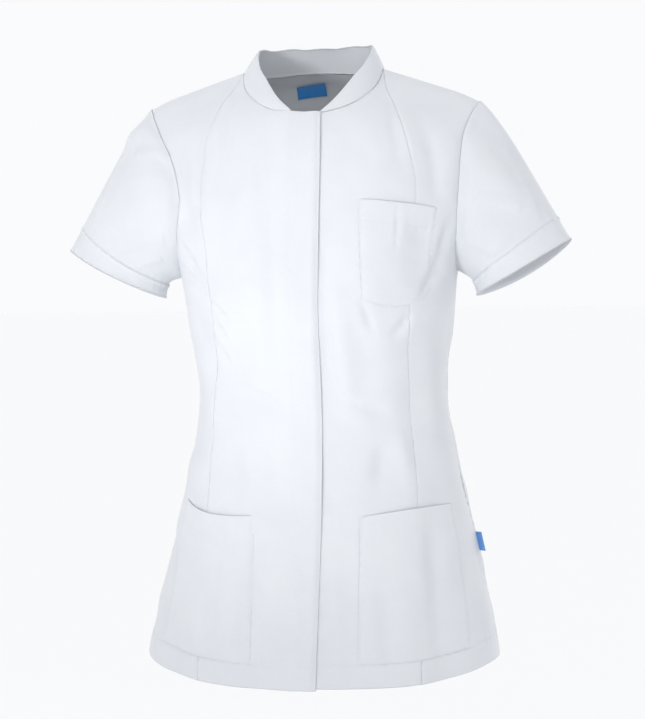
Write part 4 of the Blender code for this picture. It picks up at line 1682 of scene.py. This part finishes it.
@dataclass
class ArmPiece:
    """A tube round the arm, from the armhole or the sleeve's end downwards."""

    name: str
    side: Side
    cut: Cut

    @property
    def sizes(self) -> SleeveSizes:
        """The sizes of this side's sleeve."""
        return SLEEVES[self.side]

    def mirrored(self, points: Array) -> Array:
        """Points or normals turned from the wearer's left to this side."""
        return points * np.array([self.side.value, 1.0, 1.0])

    def armhole(self, turn: Array) -> Array:
        """Points of the armhole by their turn from the shoulder over the front.

        Args:
            turn: Turns from the shoulder over the front.

        Returns:
            One point for each turn.
        """
        drop = UNDERARM * (1 - np.cos(turn)) / 2
        angles = {face: self.side.value * FORM.armhole_angle(face, self.side, drop) for face in Face}
        front, back = (FORM.folded(face, angle, drop) for face, angle in angles.items())
        return self.mirrored(np.where((turn <= math.pi)[..., None], front, back))

    def lay(self, surface: Surface, downs: Array, thickness: float) -> tuple[Shell, Array, Array]:
        """A tube on a surface.

        Args:
            surface: Points by turn and share down, on the wearer's left.
            downs: The shares down of the tube's rows.
            thickness: The cloth's thickness.

        Returns:
            The shell, and the turns and shares down of its points.
        """
        turn, down = np.meshgrid(TURN * np.arange(SLEEVE_TURNS) / SLEEVE_TURNS, downs)
        normals = self.mirrored(-outward(surface, turn, down, ARM_STEP, ARM_STEP))
        points = self.mirrored(surface(turn, down))
        flip = self.side is Side.LEFT
        return Shell(self.name, points, normals, thickness, closed=True, flip=flip), turn, down


@dataclass
class Sleeve(ArmPiece):
    """A set-in short sleeve."""

    def plain(self, turn: Array, down: Array) -> Array:
        """The sleeve without its folds, on the wearer's left.

        Args:
            turn: Turns from the shoulder over the front.
            down: Shares of the way down.

        Returns:
            One point for each pair.
        """
        turn = turn % TURN
        start = self.armhole(turn) + np.array([SLEEVE_SEAM, 0.0, 0.0])
        end = self.sizes.seam.at(turn)
        reach = np.linalg.norm(end - start, axis=-1, keepdims=True)
        lean = np.full_like(turn, math.radians(self.sizes.lean))
        leaving = np.stack([np.cos(lean), -SLEEVE_BULGE * np.sin(turn), -np.sin(lean)], axis=-1)
        hold = between(SHOULDER_HOLD, UNDERARM_HOLD, np.sqrt(np.abs(np.sin(turn / 2))))
        arriving = unit(self.sizes.edge.at(turn) - end) * reach * CUFF_HOLD
        return curve(start, unit(leaving) * reach * hold[..., None], end, arriving, down[..., None])

    def surface(self, turn: Array, down: Array) -> Array:
        """The sleeve with its large folds.

        Args:
            turn: Turns from the shoulder over the front.
            down: Shares of the way down.

        Returns:
            One point for each pair.
        """
        height = sum(fold.relief(np.degrees(turn) % 360 / FOLD_SCALE, down) for fold in self.sizes.folds)
        height = height * eased(down / FOLD_FADE) * eased((1 - down) / FOLD_FADE)
        normals = -outward(self.plain, turn, down, ARM_STEP, ARM_STEP)
        return self.plain(turn, down) + normals * height[..., None]

    def shell(self) -> Shell:
        """The sleeve as a shell, with its creases.

        Returns:
            The shell.
        """
        downs = edge_stops(SLEEVE_DROP, SLEEVE_PITCH)
        shell, turn, down = self.lay(self.surface, downs, CLOTH)
        degrees = np.degrees(turn)
        height = sum(crease.relief(degrees / FOLD_SCALE, down) for crease in self.sizes.creases)
        away_from_join = eased(np.minimum(turn, TURN - turn) / JOIN_FADE)
        waves = cloth_waves(shell.u, shell.v, SLEEVE_SEED + self.side.value, SLEEVE_WAVES)
        height = (height + waves * away_from_join) * eased(down / END_FADE) * eased((1 - down) / END_FADE)
        round_arm = degrees * DEGREE_LENGTH
        height = height + ARMHOLE_SEAM.relief(shell.v, round_arm)
        shell.raise_by(height + SIDE_SEAM.relief(shell.to_foot, round_arm))
        return shell


@dataclass
class Cuff(ArmPiece):
    """The turned band at a sleeve's end."""

    stitch: float = 0.0022

    def surface(self, turn: Array, down: Array) -> Array:
        """The band between its two rings."""
        top, edge = self.sizes.seam.at(turn), self.sizes.edge.at(turn)
        return between(top + unit(edge - top) * SEAM, edge, down[..., None])

    def shell(self) -> Shell:
        """The cuff as a shell, with its rolled edges and a row of stitches.

        Returns:
            The shell.
        """
        downs = edge_stops(CUFF_DEPTH, CUFF_PITCH)
        shell, turn, down = self.lay(self.surface, downs, DOUBLE_CLOTH)
        low, round_arm = shell.to_foot, np.degrees(turn) * DEGREE_LENGTH
        height = CUFF_PROUD + edge_roll(shell.v, 0.0011) + edge_roll(low, 0.0008, reach=0.0013)
        height = height + pucker(shell.v, round_arm, seed=6.0, height=0.00026)
        height = height + pucker(low, round_arm, seed=8.0, height=0.00016)
        swell = CUFF_SWELL * np.sin(math.pi * down) * (1 + 0.6 * np.sin(5 * turn + self.side.value))
        shell.raise_by(height + stitched_groove(shell.v - self.stitch) + swell)
        return shell


# Collar


@dataclass
class Collar:
    """A stand collar that leans in towards the neck and tapers at its front ends."""

    name: str
    cut: Cut
    seam_pitch: float = 2.2 * MM
    row_pitch: float = 1.7 * MM
    stitch: float = 0.0028
    relief_start: float = 0.012
    swell: float = 0.0005

    def knots(self) -> list[tuple[Face, Side, float]]:
        """The neck seam's own points, from the right front end round the back to the left one.

        Returns:
            The face, the side and the reach of each point.
        """
        front = [COLLAR_END] + [x for x in SHAPES[Face.FRONT].neck_steps() if x > COLLAR_END]
        back = list(SHAPES[Face.BACK].neck_steps()[:-1])
        ring = [(Face.FRONT, Side.RIGHT, reach) for reach in front]
        ring += [(Face.BACK, Side.RIGHT, reach) for reach in reversed(back)]
        ring += [(Face.BACK, Side.LEFT, reach) for reach in [0.0, *back]]
        return ring + [(Face.FRONT, Side.LEFT, reach) for reach in reversed(front)]

    def seam_line(self) -> Array:
        """Points along the neck seam, close together.

        Returns:
            The points.
        """
        found = []
        for face, side, reach in self.knots():
            drop = FORM.neck_drop(face, np.array(reach))
            angle = FORM.angle_of(face, np.array(side.value * reach), drop)
            point, normal = FORM.sample(face, angle, drop)
            raised = lap_lift(side, point[0]) if face is Face.FRONT else 0.0
            found.append(point + normal * raised)
        line = np.array(found)
        at = run_lengths(line)
        stops = edge_stops(at[-1], self.seam_pitch) * at[-1]
        return np.stack([read_through(at, line[:, k], stops) for k in range(3)], axis=-1)

    def heights(self, base: Array, to_left: Array) -> Array:
        """The collar's height at each point of its seam.

        Args:
            base: The seam's points.
            to_left: The share of each from the wearer's right to the left.

        Returns:
            The heights.
        """
        at, y = run_lengths(base), base[:, 1]
        corner = eased((np.abs(base[:, 0]) - COLLAR_CORNER_START) / COLLAR_CORNER_REACH)
        behind = between(COLLAR_BACK_HEIGHT, COLLAR_CORNER_HEIGHT, corner)
        full = between(COLLAR_HEIGHT, behind, eased(y / COLLAR_BACK_REACH))
        full = full - COLLAR_LEFT_DIP * eased(to_left * 2 - 1) * soft_line(y, COLLAR_DIP_REACH)
        share = np.clip(np.minimum(at, at[-1] - at) / COLLAR_TAPER, 0, 1)
        return between(COLLAR_TIP_HEIGHT, full, np.sin(QUARTER * share))

    def shell(self) -> Shell:
        """The collar as a shell, from its seam up to its top edge.

        Returns:
            The shell.
        """
        base = self.seam_line()
        inward = unit(-base * np.array([1.0, 1.0, 0.0]))
        to_left = (base[:, :1] / NECK_HALF_WIDTH + 1) / 2
        lean = between(COLLAR_LEAN_RIGHT, COLLAR_LEAN_LEFT, to_left)
        rise = inward * np.sin(lean) + np.array([0.0, 0.0, 1.0]) * np.cos(lean)
        normal = unit(np.cross(rise, np.gradient(base, axis=0)))
        turned = np.sum(normal * inward, axis=-1, keepdims=True) > 0
        normal = np.where(turned, -normal, normal)
        height = self.heights(base, to_left[:, 0])
        rows = edge_stops(COLLAR_HEIGHT, self.row_pitch)[:, None]
        points = base + rise * (SEAM + height * rows)[..., None]
        normals = np.broadcast_to(normal, points.shape).copy()
        shell = Shell(self.name, points, normals, DOUBLE_CLOTH)
        shell.raise_by(self.relief(shell, height, rows))
        return shell

    def relief(self, shell: Shell, height: Array, rows: Array) -> Array:
        """Rolled edges, a row of stitches below the top edge and a soft swell.

        Args:
            shell: The shell to read.
            height: The collar's height.
            rows: Shares of the way up.

        Returns:
            One height for each point.
        """
        to_top = height * (1 - rows)
        swell = self.swell * np.sin(math.pi * rows) * (1 + 0.5 * np.sin(shell.u * 60))
        total = edge_roll(to_top, 0.0007, reach=0.0012) + stitched_groove(to_top - self.stitch)
        total = total + NECK_SEAM.relief(shell.v, shell.u) + swell
        return total * np.minimum(height / self.relief_start, 1.0)


# Pockets and labels

ON_PANEL = 0.0008
PATCH_PITCH = 2.2 * MM
PATCH_SIZE = (0.115, 0.150)
MOUTH_REACH = 0.030
POCKET_BAND = 0.024
POCKET_STITCH = 0.0022
POCKET_HOLD = 0.85
POCKET_HOLD_REACH = 0.0040
POCKET_FULLNESS = 0.0008
FULLNESS_REACH = 0.030
BAND_LINES = (POCKET_BAND - 0.0012, POCKET_BAND, POCKET_BAND + 0.0012)


def bowed(ends: Point, share: Array) -> Array:
    """A value on the curve through a start, a middle and an end.

    Args:
        ends: The three values.
        share: Shares of the way.

    Returns:
        One value for each share.
    """
    start, middle, end = ends
    bend = 2 * (start - 2 * middle + end)
    return start + (end - start - bend) * share + bend * share * share


@dataclass
class Pocket:
    """A patch on the front, stitched down on three sides, with a slightly open mouth.

    Attributes:
        inner: Reaches of the inner edge at the top and the bottom.
        outer: Angles of the outer edge there, in degrees.
        top: Drops of the mouth at its inner end, middle and outer end.
        bottom: The same for the bottom edge, or None for one that follows the hem's stitches.
        mouth: How far the mouth stands open at its middle.
    """

    name: str
    side: Side
    inner: tuple[float, float]
    outer: tuple[float, float]
    top: Point
    bottom: Point | None
    mouth: float
    cut: Cut

    def places(self) -> tuple[Array, Array, Array]:
        """Angles and drops on the form, with the shares across.

        Returns:
            The angles, the drops and the shares.
        """
        width, height = PATCH_SIZE
        rows = edge_stops(height, PATCH_PITCH, (*EDGE_STOPS, *BAND_LINES))
        across, down = np.meshgrid(edge_stops(width, PATCH_PITCH), rows)
        top = bowed(self.top, across)
        low = bowed(self.bottom, across) if self.bottom else np.full_like(across, LENGTH - HEM_DEPTH)
        level = between(top, low, down)
        inner = FORM.angle_of(Face.FRONT, between(*self.inner, down), level)
        angle = between(inner, np.radians(between(*self.outer, down)), across)
        if self.bottom is None:
            low = FORM.hem_drop(Face.FRONT, self.side.value * angle) - HEM_DEPTH
        x = SECTIONS.read("width", level) * np.sin(angle)
        drop = between(FORM.drop_at(x, -top), FORM.drop_at(x, -low), down)
        return self.side.value * angle, drop, across

    def shell(self) -> Shell:
        """The pocket as a shell on the panel's creased surface.

        Returns:
            The shell.
        """
        angle, drop, across = self.places()
        points, normals = FORM.sample(Face.FRONT, angle, drop)
        points = points + np.array([0.0, -SEAM / 2, 0.0])
        shell = Shell(self.name, points, normals, PATCH_CLOTH, flip=self.side is Side.RIGHT)
        below = shell.v
        edge = np.minimum(np.minimum(shell.u, shell.to_end), shell.to_foot)
        open_mouth = self.mouth * np.sin(math.pi * across) * (1 - eased(below / MOUTH_REACH))
        gap = ON_PANEL * (1 - POCKET_HOLD * soft_line(edge, POCKET_HOLD_REACH))
        gap = gap + POCKET_FULLNESS * eased(edge / FULLNESS_REACH)
        relief = face_relief(Face.FRONT, points) * away_from_side(Face.FRONT, self.side, angle, drop)
        shell.raise_by(PATCH_CLOTH + gap + open_mouth + relief)
        shell.raise_by(self.sewing(shell, edge, below))
        shell.doubled = second_layer(POCKET_BAND, below)
        return shell

    def sewing(self, shell: Shell, edge: Array, below: Array) -> Array:
        """The edge stitches, the puckers along them and the band's stitch line at the mouth.

        Args:
            shell: The shell to read.
            edge: Distances from the nearest edge.
            below: Distances below the mouth.

        Returns:
            One height for each point.
        """
        from_band = below - POCKET_BAND
        height = stitched_groove(edge - POCKET_STITCH, depth=0.00034)
        height = height + pucker(edge, shell.u + shell.v, seed=9.0, height=0.00034)
        height = height + stitched_groove(from_band, depth=0.00045)
        height = height + pucker(np.abs(from_band), shell.u, seed=3.0, height=0.00022)
        return height + edge_roll(edge, 0.00030, reach=0.0009) + edge_roll(below, 0.00050, reach=0.0012)

    def stitch(self, shell: Shell, row: StitchRow) -> None:
        """Adds the pocket's stitches to a row.

        Args:
            shell: The shell to read.
            row: The row to add to.
        """
        row.add(*shell.line_at(shell.u, POCKET_STITCH, 1))
        row.add(*shell.line_at(shell.to_end, POCKET_STITCH, 1))
        row.add(*shell.line_at(shell.to_foot, POCKET_STITCH))
        row.add(*shell.line_at(shell.v, POCKET_BAND))


@dataclass
class NeckLabel:
    """A woven label on the inner side of the back, just below the neck seam."""

    name: str
    cut: Cut
    width: float = 0.036
    height: float = 0.015
    x: float = -0.017
    drop: float = 0.031
    tilt: float = 0.05
    gap: float = 0.0018
    sag: float = 0.0005
    cloth: float = 0.0006

    def shell(self) -> Shell:
        """The label as a shell inside the back.

        Returns:
            The shell.
        """
        across, down = np.meshgrid(np.linspace(-0.5, 0.5, 40), np.linspace(-0.5, 0.5, 20))
        x = self.x + self.width * across
        drop = self.drop + self.height * down - self.tilt * self.width * across
        points, normals = FORM.sample(Face.BACK, FORM.angle_of(Face.BACK, x, drop), drop)
        points = points + np.array([0.0, SEAM / 2, 0.0])
        shell = Shell(self.name, points, normals, self.cloth, slot="blue_label")
        sag = self.sag * np.sin(math.pi * (across + 0.5)) * (down + 0.5)
        shell.raise_by(-CLOTH - self.gap - sag)
        return shell


@dataclass
class SideLabel:
    """A small folded flag that stands out of the wearer's left side seam."""

    name: str
    cut: Cut
    reach: float = 0.0085
    height: float = 0.022
    drop: float = 0.564
    turn: float = math.radians(34)
    curl: float = 0.0004
    cloth: float = 0.0010

    def shell(self) -> Shell:
        """The flag as a shell, a little curled at its free edge.

        Returns:
            The shell.
        """
        across, down = np.meshgrid(np.linspace(0, 1, 14), np.linspace(-0.5, 0.5, 26))
        drop = self.drop + self.height * down
        root = FORM.folded(Face.FRONT, np.full_like(drop, QUARTER), drop)
        away = ON_PANEL + self.reach * across
        curl = self.curl * across**2 * np.cos(down * 5)
        out, turned = math.cos(self.turn), math.sin(self.turn)
        shift = np.stack([away * out, self.cloth / 2 - away * turned - curl, 0 * away], axis=-1)
        normals = np.broadcast_to(np.array([turned, out, 0.0]), shift.shape).copy()
        return Shell(self.name, root + shift, normals, self.cloth, flip=True, slot="blue_label")


# Camera, light and floor


def facing(place: Point, aim: Point, roll: float = 0.0) -> Euler:
    """The rotation that turns a camera or lamp from its place to its aim."""
    turned = (Vector(aim) - Vector(place)).to_track_quat("-Z", "Y").to_matrix()
    return (turned @ Matrix.Rotation(-math.radians(roll), 3, "Z")).to_euler()


@dataclass(frozen=True)
class Camera:
    """The photo's point of view."""

    azimuth: float = 8.8
    distance: float = 3.0
    height: float = -0.20
    target: Point = (0.0, 0.0, -0.3455)
    roll: float = 1.0
    lens: float = 139.53
    sensor: float = 36.0
    far_end: float = 50.0

    def build(self) -> None:
        """Places the camera and makes it the scene's."""
        data = bpy.data.cameras.new("photo_camera")
        data.lens = self.lens
        data.sensor_width = self.sensor
        data.sensor_fit = "HORIZONTAL"
        data.clip_end = self.far_end
        obj = add_object("photo_camera", data)
        turn = math.radians(self.azimuth)
        obj.location = (self.distance * math.sin(turn), -self.distance * math.cos(turn), self.height)
        obj.rotation_euler = facing(obj.location, self.target, self.roll)
        bpy.context.scene.camera = obj


@dataclass(frozen=True)
class SoftBox:
    """A square lamp, wide for soft light or with a narrow spread for a soft-edged pool."""

    name: str
    place: Point
    aim: Point
    size: float
    power: float
    spread: float = 180.0

    def build(self) -> None:
        """Places the lamp, aimed at its target."""
        data = bpy.data.lights.new(self.name, "AREA")
        data.shape = "SQUARE"
        data.size = self.size
        data.energy = self.power
        data.spread = math.radians(self.spread)
        obj = add_object(self.name, data)
        obj.location = self.place
        obj.rotation_euler = facing(self.place, self.aim)


@dataclass(frozen=True)
class Studio:
    """Lamps, pale surroundings and a plain floor."""

    world_colour: str = "#FBFCFE"
    world_low: float = 0.72
    world_high: float = 0.99
    fade_start: float = -1.0
    fade_end: float = 0.6
    bright_side: Point = (-0.12, 0.99, 0.0)
    floor_height: float = -1.45
    floor_half: float = 40.0
    overhead: float = 0.42
    overhead_angle: float = 90.0
    lamps: tuple[SoftBox, ...] = (
        SoftBox("key", (-0.90, -2.38, -0.55), (-0.02, 0.0, -0.26), 0.4, 0.56, 25.0),
        SoftBox("fill", (0.60, -2.35, 0.35), (0.0, 0.0, -0.20), 1.0, 5.0),
        SoftBox("back", (1.4, 2.4, -0.1), (0.0, 0.0, -0.35), 1.2, 9.0),
    )

    def build(self, floor: Material) -> None:
        """Builds the surroundings, brightest behind the tunic.

        Args:
            floor: The floor's finish.
        """
        world = bpy.data.worlds.new("studio")
        world.use_nodes = True
        bpy.context.scene.world = world
        bpy.context.scene.view_settings.view_transform = "Standard"
        board = NodeBoard(world.node_tree, "Background")
        way = board.add("TexCoord").outputs["Generated"]
        side = board.add("VectorMath", {"operation": "DOT_PRODUCT"}, **{"0": way, "1": self.bright_side})
        fade = {"From_Min": self.fade_start, "From_Max": self.fade_end}
        fade |= {"To_Min": self.world_low, "To_Max": self.world_high}
        strength = board.add("MapRange", Value=side.outputs["Value"], **fade)
        board.finish(Color=linear(self.world_colour), Strength=strength.outputs["Result"])
        for lamp in self.lamps:
            lamp.build()
        data = bpy.data.lights.new("overhead", "SUN")
        data.energy = self.overhead
        data.angle = math.radians(self.overhead_angle)
        add_object("overhead", data)
        half, z = self.floor_half, self.floor_height
        mesh = bpy.data.meshes.new("floor")
        corners = [(-half, -half, z), (half, -half, z), (half, half, z), (-half, half, z)]
        mesh.from_pydata(corners, [], [(0, 1, 2, 3)])
        mesh.materials.append(floor)
        add_object("floor", mesh)


# The whole tunic


@dataclass
class Tunic:
    """All pieces of the tunic, their stitches and their finishes."""

    finishes: Finishes
    shells: dict[str, Shell] = field(default_factory=dict)

    def pieces(self) -> list[BodyPanel | ArmPiece | Collar | Pocket | NeckLabel | SideLabel]:
        """Every cloth piece, with its flat cut.

        Returns:
            The pieces.
        """
        front, back = Face.FRONT, Face.BACK
        right, left = Side.RIGHT, Side.LEFT
        return [
            CentreFront("front_right", front, right, Cut(0.172, 0.768, 0.102)),
            CentreFront("front_left", front, left, Cut(0.167, 0.769, 0.100)),
            SidePanel("side_front_right", front, right, Cut(0.152, 0.768, 0.0716)),
            SidePanel("side_front_left", front, left, Cut(0.153, 0.769, 0.0743)),
            CentreBack("back", back, left, Cut(0.232, 0.783, 0.144)),
            SidePanel("side_back_right", back, right, Cut(0.169, 0.780, 0.0893)),
            SidePanel("side_back_left", back, left, Cut(0.170, 0.783, 0.0898)),
            Sleeve("sleeve_right", right, Cut(0.520, 0.165, 0.0425)),
            Sleeve("sleeve_left", left, Cut(0.497, 0.167, 0.0396)),
            Cuff("cuff_right", right, Cut(0.352, 0.031, 0.0081)),
            Cuff("cuff_left", left, Cut(0.353, 0.031, 0.0086)),
            Collar("collar", Cut(0.503, 0.039, 0.0140)),
            Pocket(
                "chest_pocket", left, (0.062, 0.066), (51.5, 57.0),
                (0.1545, 0.1600, 0.1665), (0.2700, 0.2795, 0.2620), 0.0014, Cut(0.098, 0.122, 0.0112),
            ),
            Pocket(
                "pocket_right", right, (0.0663, 0.0663), (66.0, 62.5),
                (0.520, 0.520, 0.506), None, 0.0012, Cut(0.142, 0.173, 0.0223),
            ),
            Pocket(
                "pocket_left", left, (0.0585, 0.0615), (68.0, 61.5),
                (0.522, 0.515, 0.513), None, 0.0010, Cut(0.146, 0.175, 0.0242),
            ),
            NeckLabel("neck_label", Cut(0.036, 0.021, 0.00060)),
            SideLabel("side_label", Cut(0.010, 0.022, 0.00020)),
        ]

    def build(self) -> None:
        """Builds every piece and its stitches."""
        tapes = {"neck_label": self.finishes.neck_tape, "side_label": self.finishes.side_tape}
        for piece in self.pieces():
            shell = piece.shell()
            self.shells[piece.name] = shell
            log.info("%s flat %.3f x %.3f m, %.4f m2", piece.name, *shell.flat_size())
            obj = shell.build(tapes.get(piece.name, self.finishes.twill))
            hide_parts(piece.name)
            piece.cut.declare(obj)
        self.sew()
        for name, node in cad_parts.items():
            if name.startswith("press_stud"):
                node.data.materials.clear()
                node.data.materials.append(self.finishes.metal)

    def sew(self) -> None:
        """Adds the rows of stitches that show."""
        hem, pockets, bands, closing = StitchRow(), StitchRow(), StitchRow(), StitchRow()
        sides = ("side_front_right", "side_front_left", "side_back_right", "side_back_left")
        for name in ("front_right", "front_left", "back", *sides):
            hem.add(*self.shells[name].line_at(self.shells[name].to_foot, HEM_DEPTH))
        for piece in self.pieces():
            if isinstance(piece, Pocket):
                piece.stitch(self.shells[piece.name], pockets)
        for name in ("cuff_right", "cuff_left"):
            bands.add(*self.shells[name].line_at(self.shells[name].v, Cuff.stitch))
        collar, front = self.shells["collar"], self.shells["front_right"]
        bands.add(*collar.line_at(collar.to_foot, Collar.stitch))
        closing.add(*front.line_at(front.u, CentreFront.placket, 1))
        rows = {"hem": hem, "pocket": pockets, "band": bands, "closing": closing}
        for name, row in rows.items():
            row.build(name + "_stitches", self.finishes.thread)


def main() -> None:
    """Builds the looks."""
    logging.basicConfig(level=logging.INFO, format="%(name)s %(message)s")
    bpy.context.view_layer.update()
    finishes = Finishes(
        twill=TwillFinish().make(),
        thread=ThreadFinish().make(),
        neck_tape=LabelFinish("woven_tape_royal_blue", "#2784D2", "#3391DE").make(),
        side_tape=LabelFinish("woven_tape_light_blue", "#5A96DC", "#6CA4E4").make(),
        metal=StudFinish().make(),
        floor=FloorFinish().make(),
    )
    Tunic(finishes).build()
    Studio().build(finishes.floor)
    Camera().build()
    bpy.context.view_layer.update()


if __name__ == "__main__":
    main()
